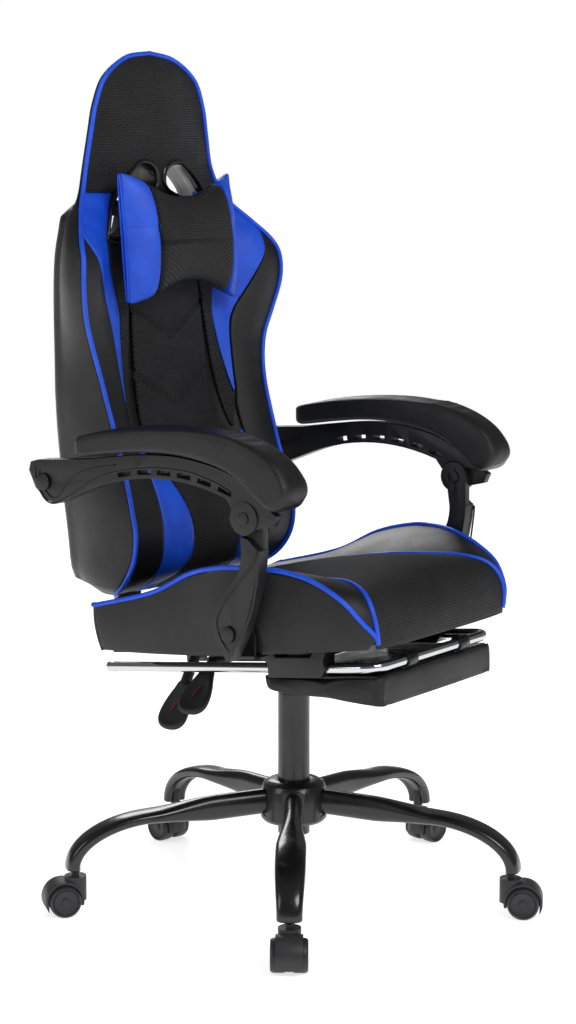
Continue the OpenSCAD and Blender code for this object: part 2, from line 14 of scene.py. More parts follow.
import bmesh
import bpy
import numpy as np
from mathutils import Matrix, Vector


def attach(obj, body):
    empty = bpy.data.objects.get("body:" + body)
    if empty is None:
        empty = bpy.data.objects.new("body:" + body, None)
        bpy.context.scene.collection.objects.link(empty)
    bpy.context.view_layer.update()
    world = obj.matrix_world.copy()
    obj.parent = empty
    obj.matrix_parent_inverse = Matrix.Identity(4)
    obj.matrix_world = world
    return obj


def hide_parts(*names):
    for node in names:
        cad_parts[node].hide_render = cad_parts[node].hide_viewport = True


MM = 0.001
both_sides = ((-1, "right"), (1, "left"))
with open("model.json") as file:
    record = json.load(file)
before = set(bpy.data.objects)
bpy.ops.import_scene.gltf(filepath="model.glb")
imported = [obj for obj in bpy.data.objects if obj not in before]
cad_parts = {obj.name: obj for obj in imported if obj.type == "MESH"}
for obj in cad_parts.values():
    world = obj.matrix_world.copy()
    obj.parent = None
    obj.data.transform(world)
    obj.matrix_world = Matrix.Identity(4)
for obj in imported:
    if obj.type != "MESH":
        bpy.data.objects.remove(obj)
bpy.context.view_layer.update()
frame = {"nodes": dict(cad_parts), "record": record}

# %% [markdown]
# ## The camera first
# The chair is seen from its right front corner, a little above seat height, with a long lens.
# A long lens keeps upright edges nearly parallel, so the camera stands well back.

# %% Camera
camera_place = Vector((-2.893, -2.056, 1.129))
camera_azimuth = 54.6
camera_pitch = 8.29
camera_yaw = 0.15
camera_lens = 81.1

camera = bpy.data.objects.new("camera", bpy.data.cameras.new("camera"))
camera.data.sensor_fit = "VERTICAL"
camera.data.sensor_height = 36
camera.data.lens = camera_lens
camera.location = camera_place
camera.rotation_euler = (
    math.radians(90 - camera_pitch), 0, math.radians(-camera_azimuth + camera_yaw)
)
bpy.context.scene.collection.objects.link(camera)
bpy.context.scene.camera = camera
print("camera", round(camera_place.length, 2), "m from the chair's foot")

# %% [markdown]
# ## Finishes
# A finish is a small tree of nodes round one Principled shader. Values that are the same all
# over go straight onto the shader. Anything that varies, such as the pebble of a leather or the
# holes of an air mesh, comes from textures in Object coordinates or in the panel's own UV map.

# %% Helpers that wire nodes
def wired(tree, kind, inputs=None, **settings):
    """Adds a node to a tree; each input is a value or the output that feeds it."""
    node = tree.nodes.new(kind)
    for key, value in settings.items():
        setattr(node, key, value)
    for key, value in (inputs or {}).items():
        if isinstance(value, bpy.types.NodeSocket):
            tree.links.new(value, node.inputs[key])
        else:
            node.inputs[key].default_value = value
    return node


class Finish:
    """A material whose nodes are added one by one, with inputs given by name or number."""

    def __init__(self, name, **shader_values):
        self.material = bpy.data.materials.new(name)
        self.material.use_nodes = True
        self.tree = self.material.node_tree
        self.shader = self.tree.nodes["Principled BSDF"]
        for key, value in shader_values.items():
            socket = self.shader.inputs[key.replace("_", " ")]
            socket.default_value = (*value, 1) if isinstance(value, tuple) else value
        self.material.diffuse_color = self.shader.inputs["Base Color"].default_value

    def add(self, kind, inputs=None, **settings):
        return wired(self.tree, "ShaderNode" + kind, inputs, **settings)

    def to_shader(self, key, socket):
        self.tree.links.new(socket, self.shader.inputs[key])

    def place(self, source="Object"):
        return self.add("TexCoord").outputs[source]

    def noise(self, where, scale, detail=3.0, roughness=0.5):
        inputs = {"Vector": where, "Scale": scale, "Detail": detail, "Roughness": roughness}
        return self.add("TexNoise", inputs).outputs["Fac"]

    def span(self, value, low, high, to_low, to_high):
        inputs = {0: value, 1: low, 2: high, 3: to_low, 4: to_high}
        return self.add("MapRange", inputs, interpolation_type="SMOOTHSTEP").outputs[0]

    def tint(self, factor, colour_a, colour_b):
        inputs = {0: factor, 6: (*colour_a, 1), 7: (*colour_b, 1)}
        return self.add("Mix", inputs, data_type="RGBA").outputs[2]

    def maths(self, operation, a, b=0.0):
        return self.add("Math", {0: a, 1: b}, operation=operation).outputs[0]

    def bump(self, height, distance, strength=1.0, under=None):
        inputs = {"Height": height, "Distance": distance, "Strength": strength}
        if under is not None:
            inputs["Normal"] = under
        return self.add("Bump", inputs).outputs[0]


finishes = {}
print("node helpers ready")

# %% [markdown]
# ### Coated leather
# The cover is PU leather: a fine pebble about a millimetre across, pressed into a soft coat.
# A Voronoi texture gives the pebble's cells, and two slow noises add the uneven stretch and the
# patches that hands have polished. All of it is bump and roughness; the colour hardly changes.

# %% Coated leather
def coated_leather(name, colour, light, roughness, grain=0.00016):
    f = Finish(name, Base_Color=colour, Roughness=roughness, Specular_IOR_Level=0.36)
    where = f.place()
    cells = {"Vector": where, "Scale": 820.0, "Randomness": 0.9}
    pebble = f.add("TexVoronoi", cells, feature="DISTANCE_TO_EDGE").outputs["Distance"]
    pebble = f.span(pebble, 0.0, 0.22, 0.0, 1.0)
    pull = f.noise(where, 26.0, 4.0, 0.6)
    polish = f.noise(where, 9.0, 3.0)
    broad = f.bump(pull, 0.0016, 0.5)
    f.to_shader("Normal", f.bump(pebble, grain, 0.55, broad))
    f.to_shader("Roughness", f.span(polish, 0.3, 0.7, roughness - 0.07, roughness + 0.08))
    f.to_shader("Base Color", f.tint(f.span(pull, 0.35, 0.7, 0.0, 1.0), colour, light))
    finishes[name] = f.material
    return f.material


black_leather = coated_leather("black_leather", (0.006, 0.006, 0.007), (0.009, 0.009, 0.010), 0.41)
blue_leather = coated_leather("blue_leather", (0.006, 0.060, 0.52), (0.009, 0.080, 0.62), 0.38)
blue_piping = coated_leather(
    "blue_piping", (0.006, 0.060, 0.55), (0.010, 0.080, 0.66), 0.36, 0.0001)
print("leathers:", sorted(finishes))

# %% [markdown]
# ### Air mesh
# The breathable fabric is a knit with rows of small holes set like a honeycomb. Three waves at
# 120 degrees add up to that pattern, so it is sharp at any distance. It reads the panel's UV
# map, which is measured in metres along the cloth, so the rows follow each panel's surface.

# %% Air mesh
def wave_sum(f, where, pitch):
    """Adds three cosine waves; the sum peaks on a honeycomb whose neighbours are pitch apart."""
    turns = 4 * math.pi / (math.sqrt(3) * pitch)
    total = None
    for angle in (90, 210, 330):
        way = Vector((math.cos(math.radians(angle)), math.sin(math.radians(angle)), 0)) * turns
        along = f.add("VectorMath", {0: where, 1: way}, operation="DOT_PRODUCT").outputs["Value"]
        ripple = f.maths("COSINE", along)
        total = ripple if total is None else f.maths("ADD", total, ripple)
    return total


def air_mesh(name, pitch, thread, gap):
    f = Finish(name, Base_Color=thread, Roughness=0.7, Specular_IOR_Level=0.3)
    peaks = wave_sum(f, f.place("UV"), pitch)
    hole = f.span(peaks, 0.5, 1.9, 0.0, 1.0)
    worn = f.noise(f.place(), 14.0, 3.0)
    lint = f.tint(f.span(worn, 0.35, 0.7, 0.0, 1.0), thread, tuple(1.5 * c for c in thread))
    mixed = f.add("Mix", {0: hole, 6: lint, 7: (*gap, 1)}, data_type="RGBA").outputs[2]
    f.to_shader("Base Color", mixed)
    f.to_shader("Roughness", f.span(hole, 0.0, 1.0, 0.55, 0.9))
    f.to_shader("Normal", f.bump(f.maths("MULTIPLY", peaks, -1.0), 0.0005, 0.8))
    finishes[name] = f.material
    return f.material


mesh_fabric = air_mesh("mesh_fabric", 0.0046, (0.011, 0.011, 0.012), (0.0012, 0.0012, 0.0014))
print("air mesh pitch 4.6 mm")

# %% [markdown]
# ### Moulded plastic, paint and metal
# Plastic keeps the fine texture of its mould. Gloss paint has a clear coat and the slight
# ripple of orange peel. Chrome is nearly a mirror, with hair scratches in its roughness.

# %% Plastic, paint and metal
def moulded(name, colour, roughness, grain=1400.0, depth=0.00006, coat=0.0):
    f = Finish(name, Base_Color=colour, Roughness=roughness, Specular_IOR_Level=0.4,
               Coat_Weight=coat, Coat_Roughness=0.12)
    where = f.place()
    fine = f.noise(where, grain, 2.0)
    slow = f.noise(where, 22.0, 3.0)
    f.to_shader("Normal", f.bump(fine, depth, 0.6))
    f.to_shader("Roughness", f.span(slow, 0.3, 0.7, roughness - 0.05, roughness + 0.07))
    lighter = tuple(1.35 * c for c in colour)
    f.to_shader("Base Color", f.tint(f.span(slow, 0.3, 0.75, 0.0, 1.0), colour, lighter))
    finishes[name] = f.material
    return f.material


def metal(name, colour, roughness, scratch):
    f = Finish(name, Base_Color=colour, Roughness=roughness, Metallic=1.0)
    where = f.place()
    hair = f.noise(where, 180.0, 6.0, 0.8)
    smear = f.noise(where, 14.0, 3.0)
    scratched = f.span(hair, 0.55, 0.75, 0.0, scratch)
    smeared = f.span(smear, 0.3, 0.7, 0.0, scratch)
    f.to_shader("Roughness", f.maths("ADD", f.maths("ADD", scratched, smeared), roughness))
    f.to_shader("Normal", f.bump(hair, 0.00002, 0.4))
    finishes[name] = f.material
    return f.material


gloss_paint = moulded("gloss_paint", (0.005, 0.005, 0.0055), 0.27, 160.0, 0.00003, 0.35)
satin_paint = moulded("satin_paint", (0.006, 0.006, 0.0065), 0.33, 700.0, 0.00004, 0.3)
arm_plastic = moulded("arm_plastic", (0.007, 0.007, 0.008), 0.38, 900.0, 0.00010)
smooth_plastic = moulded("smooth_plastic", (0.005, 0.005, 0.0055), 0.28)
caster_plastic = moulded("caster_plastic", (0.022, 0.022, 0.024), 0.48, 650.0, 0.00014)
wheel_plastic = moulded("wheel_plastic", (0.017, 0.017, 0.019), 0.44, 900.0, 0.00008)
boot_rubber = moulded("boot_rubber", (0.008, 0.008, 0.009), 0.55)
thread = moulded("thread", (0.014, 0.014, 0.015), 0.7, 2600.0, 0.00012)
webbing = moulded("webbing", (0.007, 0.007, 0.008), 0.75, 1800.0, 0.0003)
black_cloth = moulded("black_cloth", (0.008, 0.008, 0.009), 0.85, 1500.0, 0.0002)
chrome = metal("chrome", (0.60, 0.61, 0.63), 0.07, 0.06)
plain_steel = metal("plain_steel", (0.52, 0.52, 0.53), 0.28, 0.10)
print(len(finishes), "finishes")

# %% [markdown]
# ## Drawing with smooth lines
# Upholstery is drawn as lines: where each seam runs, and how the foam rises between them.
# `flow` runs a smooth line through a few chosen points and spaces new points evenly along it,
# so two seams cut into the same number of points can be joined row by row.

# %% Smooth lines
def flow(points, count, closed=False):
    """count evenly spaced points on a smooth line through the given points."""
    p = np.array(points, float)
    if closed:
        p = np.vstack([p, p[:1]])
    before = p[-2] if closed else 2 * p[0] - p[1]
    after = p[1] if closed else 2 * p[-1] - p[-2]
    q = np.vstack([before, p, after])
    t = np.linspace(0, 1, 24, endpoint=False)[:, None]
    fine = []
    for a, b, c, d in zip(q[:-3], q[1:-2], q[2:-1], q[3:]):
        cubic = 3 * b - a - 3 * c + d
        fine.append(0.5 * (2 * b + (c - a) * t + (2 * a - 5 * b + 4 * c - d) * t**2 + cubic * t**3))
    fine = np.vstack(fine + [p[-1:]])
    steps = np.linalg.norm(np.diff(fine, axis=0), axis=1)
    run = np.concatenate([[0], np.cumsum(steps)])
    at = np.linspace(0, run[-1], count + 1 if closed else count)
    line = np.stack([np.interp(at, run, fine[:, k]) for k in range(p.shape[1])], 1)
    return line[:-1] if closed else line


def ease(low, high, value):
    """A smooth step from 0 to 1 as value goes from low to high."""
    t = np.clip((np.asarray(value, float) - low) / (high - low), 0, 1)
    return t * t * (3 - 2 * t)


def by_height(points):
    """A function of z from a list of (value, z) pairs, smooth between them."""
    line = flow(points, 400)
    order = np.argsort(line[:, 1])
    return lambda z: np.interp(z, line[order, 1], line[order, 0])


print("a quarter turn:", flow([(0, 1), (0.7, 0.7), (1, 0)], 3).round(2).tolist())

# %% [markdown]
# ## From grids to pieces
# A panel is a grid of points. `solid_panel` gives it a thickness, so each piece of upholstery
# is a closed skin like the cut and sewn cloth that it stands for. Its UV map holds true
# distances along the cloth, which is what the air mesh needs.

# %% Building meshes
def make_piece(name, points, faces, material, uv=None, recalc=True, smooth=True):
    """A Blender object at the origin from points in millimetres."""
    mesh = bpy.data.meshes.new(name)
    mesh.from_pydata((np.asarray(points) * MM).tolist(), [], [list(map(int, f)) for f in faces])
    if uv is not None:
        layer = mesh.uv_layers.new(name="cloth")
        at = np.zeros(len(mesh.loops), int)
        mesh.loops.foreach_get("vertex_index", at)
        layer.data.foreach_set("uv", (np.asarray(uv)[at] * MM).ravel())
    if recalc:
        work = bmesh.new()
        work.from_mesh(mesh)
        bmesh.ops.remove_doubles(work, verts=work.verts, dist=0.00002)
        bmesh.ops.recalc_face_normals(work, faces=work.faces)
        work.to_mesh(mesh)
        work.free()
    mesh.polygons.foreach_set("use_smooth", [smooth] * len(mesh.polygons))
    mesh.materials.append(material)
    mesh.update()
    obj = bpy.data.objects.new(name, mesh)
    bpy.context.scene.collection.objects.link(obj)
    return obj


def cell_faces(rows, cols, wrap=False, start=0):
    """The four-sided faces of a grid whose points are numbered row by row."""
    last = cols if wrap else cols - 1
    return [
        (start + i * cols + j, start + i * cols + (j + 1) % cols,
         start + (i + 1) * cols + (j + 1) % cols, start + (i + 1) * cols + j)
        for i in range(rows - 1) for j in range(last)
    ]


def grid_normals(grid):
    """The direction away from the surface at each point of a grid."""
    along = np.gradient(grid, axis=0)
    across = np.gradient(grid, axis=1)
    out = np.cross(across, along)
    size = np.linalg.norm(out, axis=2, keepdims=True)
    return out / np.maximum(size, 1e-9)


def cloth_lengths(grid):
    """Distances along the cloth from the middle of the grid, across and along."""
    across = np.linalg.norm(np.diff(grid, axis=1), axis=2)
    along = np.linalg.norm(np.diff(grid, axis=0), axis=2).mean(axis=1)
    u = np.concatenate([np.zeros((len(grid), 1)), np.cumsum(across, axis=1)], axis=1)
    u -= u[:, [grid.shape[1] // 2]]
    v = np.concatenate([[0], np.cumsum(along)])[:, None] + np.zeros_like(u)
    return np.stack([u, v], 2)


def solid_panel(name, grid, thick, material, away):
    """A closed skin: the grid is its outer face, and its inner face lies thick below it."""
    normals = grid_normals(grid)
    middle = normals[len(grid) // 2, grid.shape[1] // 2]
    if np.dot(middle, away) < 0:
        normals = -normals
    rows, cols = grid.shape[:2]
    total = rows * cols
    outer = cell_faces(rows, cols)
    inner = [tuple(total + k for k in reversed(face)) for face in outer]
    rim = [i * cols for i in range(rows)] + [(rows - 1) * cols + j for j in range(1, cols)]
    rim += [i * cols + cols - 1 for i in range(rows - 2, -1, -1)] + list(range(cols - 2, 0, -1))
    wall = [(a, b, total + b, total + a) for a, b in zip(rim, rim[1:] + rim[:1])]
    points = np.vstack([grid.reshape(-1, 3), (grid - normals * thick).reshape(-1, 3)])
    uv = np.vstack([cloth_lengths(grid).reshape(-1, 2)] * 2)
    return make_piece(name, points, outer + inner + wall, material, uv)


print("a 3 by 3 grid has", len(cell_faces(3, 3)), "cells")

# %% [markdown]
# ### Sewn panels that the foam pushes out
# A cover is held along its seams, and the foam pushes it out between them. The cloth simulation
# does exactly that: the border of each grid is pinned, and pressure acts on the rest. A cap on
# how far a point may move keeps the result within the foam's real thickness.

# %% Blowing up a set of panels
def puff(panels, pressure, cap):
    """The same grids after their insides have been pushed out between their pinned borders."""
    points, faces, pinned, starts = [], [], [], []
    for grid in panels:
        rows, cols = grid.shape[:2]
        start = sum(len(p) for p in points)
        starts.append(start)
        points.append(grid.reshape(-1, 3))
        faces += cell_faces(rows, cols, start=start)
        number = np.arange(rows * cols).reshape(rows, cols) + start
        pinned += [*number[0], *number[-1], *number[:, 0], *number[:, -1]]
    points = swell(np.vstack(points), faces, pinned, pressure, cap)
    ends = starts[1:] + [len(points)]
    return [points[a:b].reshape(g.shape) for a, b, g in zip(starts, ends, panels)]


def swell(points, faces, pinned, pressure, cap):
    """The points after twenty frames of cloth under pressure, moved by no more than cap."""
    mesh = bpy.data.meshes.new("cloth")
    mesh.from_pydata((points * MM).tolist(), [], [list(map(int, f)) for f in faces])
    obj = bpy.data.objects.new("cloth", mesh)
    bpy.context.scene.collection.objects.link(obj)
    obj.vertex_groups.new(name="sewn").add([int(k) for k in pinned], 1.0, "REPLACE")
    cloth = obj.modifiers.new("Cloth", "CLOTH")
    cloth.settings.quality = 5
    cloth.settings.mass = 0.3
    cloth.settings.tension_stiffness = 12
    cloth.settings.compression_stiffness = 12
    cloth.settings.bending_stiffness = 0.4
    cloth.settings.use_pressure = True
    cloth.settings.uniform_pressure_force = -pressure
    cloth.settings.effector_weights.gravity = 0
    cloth.collision_settings.use_collision = False
    cloth.settings.vertex_group_mass = "sewn"
    scene = bpy.context.scene
    for step in range(1, 21):
        scene.frame_set(step)
    solved = obj.evaluated_get(bpy.context.evaluated_depsgraph_get()).data
    where = np.zeros(len(solved.vertices) * 3)
    solved.vertices.foreach_get("co", where)
    bpy.data.objects.remove(obj)
    scene.frame_set(1)
    moved = where.reshape(-1, 3) / MM - points
    far = np.linalg.norm(moved, axis=1, keepdims=True)
    return points + moved * np.minimum(1, cap / np.maximum(far, 1e-6))


print("cloth is", "simulated")

# %% [markdown]
# ## The back's cover
# The back is a tall shield with a narrow head, wide shoulders and wings. Its front is given by a
# depth for the sunken middle and one for the wings, and by an outline. The panels are then cut
# out of that front between seams, each seam being a half width that changes with height.

# %% The back's outline and depth
back_edge = [
    (0, 1321), (60, 1312), (111, 1282), (134, 1240), (144, 1199), (156, 1146), (172, 1107),
    (190, 1083), (216, 1056), (241, 1026), (251, 995), (251, 958), (238, 912), (220, 868),
    (208, 820), (203, 760), (202, 674), (205, 620), (207, 560), (203, 515), (188, 490), (160, 479),
]
edge_line = flow(back_edge, 400)
head_seam_z = 1104


def edge_x(z):
    return np.interp(z, edge_line[::-1, 1], edge_line[::-1, 0])


wing_y = by_height([
    (282, 1321), (279, 1283), (281, 1199), (282, 1146), (275, 1107), (264, 1083), (243, 1056),
    (220, 1026), (209, 1001), (208, 961), (216, 904), (218, 860), (208, 799), (190, 735),
    (169, 665), (157, 623), (149, 584), (155, 543), (179, 507), (210, 487), (234, 477),
])
middle_y = by_height([
    (282, 1323), (270, 1283), (266, 1199), (266, 1100), (258, 1000), (250, 926), (238, 800),
    (224, 740), (196, 690), (167, 640), (152, 600), (148, 565), (154, 535), (174, 510),
    (205, 490), (215, 478),
])
rear_y = by_height([
    (289, 1325), (294, 1300), (302, 1240), (304, 1160), (317, 1060), (330, 940), (330, 510),
    (322, 486), (300, 474),
])


def front_y(x, z):
    """Depth of the back's front at (x, z): the middle, rising to the wings at the sides."""
    share = ease(0.5, 0.88, np.abs(x) / np.maximum(edge_x(z), 1))
    return middle_y(z) + (wing_y(z) - middle_y(z)) * share


def back_panel(z_top, z_low, inner, outer, rows, cols, side=1, sunk=0.0):
    """A grid on the back's front, between two half widths that depend on height."""
    z = np.linspace(z_top, z_low, rows)
    share = np.linspace(0, 1, cols)
    x = inner(z)[:, None] * (1 - share) + outer(z)[:, None] * share
    z = z[:, None] + np.zeros_like(x)
    return np.stack([side * x, front_y(x, z) + sunk, z], 2)


print("the back is", round(2 * edge_line[:, 0].max()), "mm wide at its wings")

# %% [markdown]
# ### Where the seams run
# From the middle outwards there are: the air mesh centre, a sunk channel that widens downwards,
# a mesh strip, the blue shoulder, and the black wing. Low down, a blue crescent takes the
# strip's place on the lumbar bulge.

# %% Seams of the back
centre_edge = by_height([
    (13, 1112), (40, 1097), (76, 1068), (82, 1030), (88, 926), (92, 830), (95, 740), (99, 700),
    (84, 660), (65, 610), (60, 560), (66, 520), (84, 480),
])
strip_inner = by_height([(86, 1036), (94, 926), (106, 830), (118, 740), (122, 722)])
strip_outer = by_height([
    (134, 1036), (131, 1000), (122, 944), (118, 918), (120, 885), (126, 845), (134, 800),
    (138, 774), (134, 750), (126, 722),
])
blue_inner = by_height([
    (98, 1104), (113, 1075), (125, 1050), (134, 1034), (131, 1000), (122, 944), (118, 918),
    (120, 885), (126, 845), (134, 800), (139, 774),
])
blue_outer = by_height([
    (228, 1046), (222, 1025), (211, 1000), (186, 955), (160, 915), (150, 890), (146, 850),
    (143, 800), (142, 774),
])
crescent_inner = by_height([
    (134, 718), (120, 704), (102, 686), (85, 660), (66, 610), (61, 560), (67, 520), (84, 480),
])
crescent_outer = by_height([
    (137, 718), (137, 708), (136, 690), (133, 660), (135, 600), (137, 560), (133, 520), (126, 480),
])


def shoulder_outer(z):
    return np.where(z > 1046, edge_x(z), np.minimum(blue_outer(z), edge_x(z)))


def wing_inner(z):
    upper = blue_outer(z)
    lower = crescent_outer(z)
    return np.minimum(upper * ease(752, 788, z) + lower * (1 - ease(752, 788, z)), edge_x(z) - 1)


gap = 1.2  # half of the dip between two panels, at their seam
print("seams meet the outline at", round(float(edge_x(1046))), "mm")

# %% [markdown]
# ### Cutting, puffing and closing the panels
# All panels of one side go through one simulation, since their pinned borders keep them apart.
# The other side is its mirror image, as a sewing pattern would be turned over. The chevrons are
# quilted into the centre after the simulation: each is a V-shaped dip nearly 5 mm deep, with a
# low welt on either side of it.

# %% The back's panels
def head_grid():
    z = np.linspace(math.sqrt(1320.4 - 1319), math.sqrt(1320.4 - head_seam_z), 54)
    z = 1320.4 - z**2
    share = np.linspace(-1, 1, 61)
    x = edge_x(z)[:, None] * share
    z = z[:, None] + np.zeros_like(x)
    bow = 5 * (1 - share**2) * ease(1319, 1290, z)
    return np.stack([x, front_y(x, z) - bow, z], 2)


def centre_grid():
    z = np.linspace(head_seam_z + 8, 482, 170)
    share = np.linspace(-1, 1, 57)
    x = (centre_edge(z) - gap)[:, None] * share
    z = z[:, None] + np.zeros_like(x)
    return np.stack([x, front_y(x, z), z], 2)


def quilt(grid, feet, slope, depth, half):
    """Presses V-shaped quilting lines into a grid; feet are the heights of the V's points."""
    x, z = np.abs(grid[:, :, 0]), grid[:, :, 2]
    for foot, reach in feet:
        off = (z - foot - x * slope) * math.cos(math.atan(slope))
        press = np.exp(-(off / half) ** 2) * (1 - ease(reach - 4, reach + 2, x))
        grid[:, :, 1] += depth * press
        grid[:, :, 1] -= 0.35 * depth * np.exp(-((np.abs(off) - 2.6 * half) / half) ** 2) * (
            1 - ease(reach - 4, reach + 2, x))
    return grid


left_flat = {
    "mesh_strip": back_panel(
        1036, 724, lambda z: strip_inner(z) + 1, lambda z: strip_outer(z) - gap, 64, 9),
    "shoulder": back_panel(
        head_seam_z, 780, lambda z: blue_inner(z) + gap, lambda z: shoulder_outer(z) - gap, 72, 17),
    "crescent": back_panel(
        716, 482, lambda z: crescent_inner(z) + gap, lambda z: crescent_outer(z) - gap, 52, 13),
    "wing": back_panel(1040, 484, lambda z: wing_inner(z) + gap, lambda z: edge_x(z) - 1, 110, 19),
}
flat = list(left_flat.values()) + [head_grid(), centre_grid()]
puffed = puff(flat, 5.0, 6.0)
back_skins = dict(zip(list(left_flat) + ["head", "centre"], puffed))
chevrons = [(878, 88), (769, 96)]  # height of the point, half width
chevron_slope, chevron_depth, chevron_half = math.tan(math.radians(30)), 4.6, 3.4
back_skins["centre"] = quilt(
    back_skins["centre"], chevrons, chevron_slope, chevron_depth, chevron_half)
panel_cloth = {
    "mesh_strip": mesh_fabric, "shoulder": blue_leather,
    "crescent": blue_leather, "wing": black_leather,
}
toward_sitter, panel_thick = (0, -1, 0), 7
back_pieces = []
for name, grid in back_skins.items():
    if name in panel_cloth:
        for side, word in both_sides:
            sewn = grid * np.array([side, 1, 1])
            back_pieces.append(solid_panel(
                f"back_{name}_{word}", sewn, panel_thick, panel_cloth[name], toward_sitter))
    else:
        back_pieces.append(solid_panel(
            f"back_{name}_panel", grid, panel_thick, mesh_fabric, toward_sitter))
print(len(back_pieces), "panels on the back's front")

# %% [markdown]
# ### The shell behind the panels
# Behind the panels is the foam body with its leather side walls and rear. It is one closed loft:
# a ring of points at each height, set back behind the panels in front, and rounded at the rear
# corners. The belt holes are then cut right through it, and through the head panel.

# %% The back's shell
def shell_ring(z):
    """Points round the back at one height, from the front middle by +X to the rear and back."""
    half, front, wing, rear = edge_x(z), middle_y(z), wing_y(z), rear_y(z)
    taper = 10 + 30 * (1 - ease(500, 770, z)) + 0.95 * max(0, half - 205) + 34 * ease(1060, 1112, z)
    round_r = min(26, half / 3, (rear - wing) / 2.5)
    span = np.linspace(0, 1, 12) * (half - 3)
    side = [(x, front_y(x, z) + 7.5) for x in span]
    lip = [(half - 0.6, wing + 2.5), (half + 0.2, wing + 7)]
    depth = rear - round_r - wing - 7
    bulge = [
        (half - taper * t**1.6 + 3.5 * math.sin(math.pi * t), wing + 7 + depth * t)
        for t in np.linspace(0.12, 1, 8)
    ]
    corner = [
        (half - taper - round_r * (1 - math.cos(a)), rear - round_r + round_r * math.sin(a))
        for a in np.radians([22, 45, 68, 90])
    ]
    width = half - taper - round_r
    rear_line = [(width * s, rear + 1.2 * (1 - s * s)) for s in (0.8, 0.6, 0.4, 0.2, 0)]
    right = [(x, float(y)) for x, y in side + lip + bulge + corner + rear_line]
    left = [(-x, y) for x, y in right[-2:0:-1]]
    return [(x, y, float(z)) for x, y in right + left]


def loft(name, rings, material, uv=None):
    """A closed body through rings with the same number of points, with flat or pointed ends."""
    count = len(rings[0])
    faces = cell_faces(len(rings), count, wrap=True)
    faces.append(tuple(range(count)))
    faces.append(tuple(reversed(range((len(rings) - 1) * count, len(rings) * count))))
    return make_piece(name, np.array(rings).reshape(-1, 3), faces, material, uv)


ring_z = 1318.5 - np.linspace(0, math.sqrt(1318.5 - 480), 96) ** 2
back_shell = loft("back_shell", [shell_ring(z) for z in ring_z], black_leather)
belt_hole = [
    (11, 1122), (18, 1140), (40, 1148), (62, 1142), (107, 1102), (131, 1050), (129, 1036),
    (92, 1036), (84, 1070), (60, 1092), (20, 1108),
]
belt_hole_rear = [
    (8, 1122), (14, 1146), (40, 1156), (66, 1148), (116, 1106), (134, 1052), (130, 1028),
    (54, 1028), (42, 1066), (28, 1090), (12, 1108),
]


def cut_through(obj, outline, y_low, y_high, far_outline=None):
    """Cuts through a piece on both sides, from an outline in X and Z to one further back."""
    near = flow(outline, 60, closed=True)
    far = near if far_outline is None else flow(far_outline, 60, closed=True)
    for side in (1, -1):
        points = [(side * x, y, z) for y, line in ((y_low, near), (y_high, far)) for x, z in line]
        count = len(near)
        faces = cell_faces(2, count, wrap=True)
        faces += [tuple(range(count)), tuple(range(2 * count - 1, count - 1, -1))]
        tool = make_piece("tool", points, faces, black_leather)
        cut = obj.modifiers.new("cut", "BOOLEAN")
        cut.object, cut.operation, cut.solver = tool, "DIFFERENCE", "EXACT"
        obj.data = baked(obj)
        obj.modifiers.clear()
        bpy.data.objects.remove(tool)


def baked(obj):
    """The mesh that an object's modifiers give."""
    bpy.context.view_layer.update()
    return bpy.data.meshes.new_from_object(obj.evaluated_get(bpy.context.evaluated_depsgraph_get()))


cut_through(back_shell, belt_hole, 250, 336, belt_hole_rear)
for piece in back_pieces:
    if piece.name in ("back_head_panel", "back_centre_panel"):
        cut_through(piece, belt_hole, 150, 400)
print("shell:", len(back_shell.data.polygons), "faces after cutting")

# %% [markdown]
# ### Piping and belt-hole rims
# Piping is a cord covered in blue leather and caught in the seam. It is a round tube swept along
# the seam's own line. The rims of the belt holes are moulded plastic with a rounded lip.

# %% Tubes along lines
def sweep(name, line, radius, material, sides=12, closed=False, flat=1.0):
    """A closed tube along a line; flat squeezes it along the third of its own directions."""
    line = np.asarray(line, float)
    count = len(line)
    if closed:
        ahead = np.roll(line, -1, 0) - np.roll(line, 1, 0)
    else:
        ahead = np.gradient(line, axis=0)
    ahead /= np.linalg.norm(ahead, axis=1, keepdims=True)
    up = np.cross(ahead[0], (0.3, 0.2, 0.93))
    rings = []
    turn = np.linspace(0, 2 * math.pi, sides, endpoint=False)
    for point, way in zip(line, ahead):
        up = up - way * np.dot(up, way)
        up /= np.linalg.norm(up)
        over = np.cross(way, up)
        round_it = np.cos(turn)[:, None] * up + flat * np.sin(turn)[:, None] * over
        rings.append(point + radius * round_it)
    points = np.array(rings).reshape(-1, 3)
    faces = cell_faces(count, sides, wrap=True)
    if closed:
        last = (count - 1) * sides
        faces += [(last + j, last + (j + 1) % sides, (j + 1) % sides, j) for j in range(sides)]
    else:
        faces += [tuple(range(sides)), tuple(reversed(range((count - 1) * sides, count * sides)))]
    return make_piece(name, points, faces, material)


piping_r = 3.7
half_line = [(x, wing_y(z) - 1.0, z) for x, z in edge_line[::3]]
whole_line = [(-x, y, z) for x, y, z in half_line[::-1]] + half_line[1:]
back_piping = sweep("back_piping", flow(whole_line, 420), piping_r, blue_piping)



def grown(centre, x, y, z, factor):
    """A rim's point, moved away from the middle of its hole by a factor."""
    return (centre[0] + (x - centre[0]) * factor, y, centre[1] + (z - centre[1]) * factor)


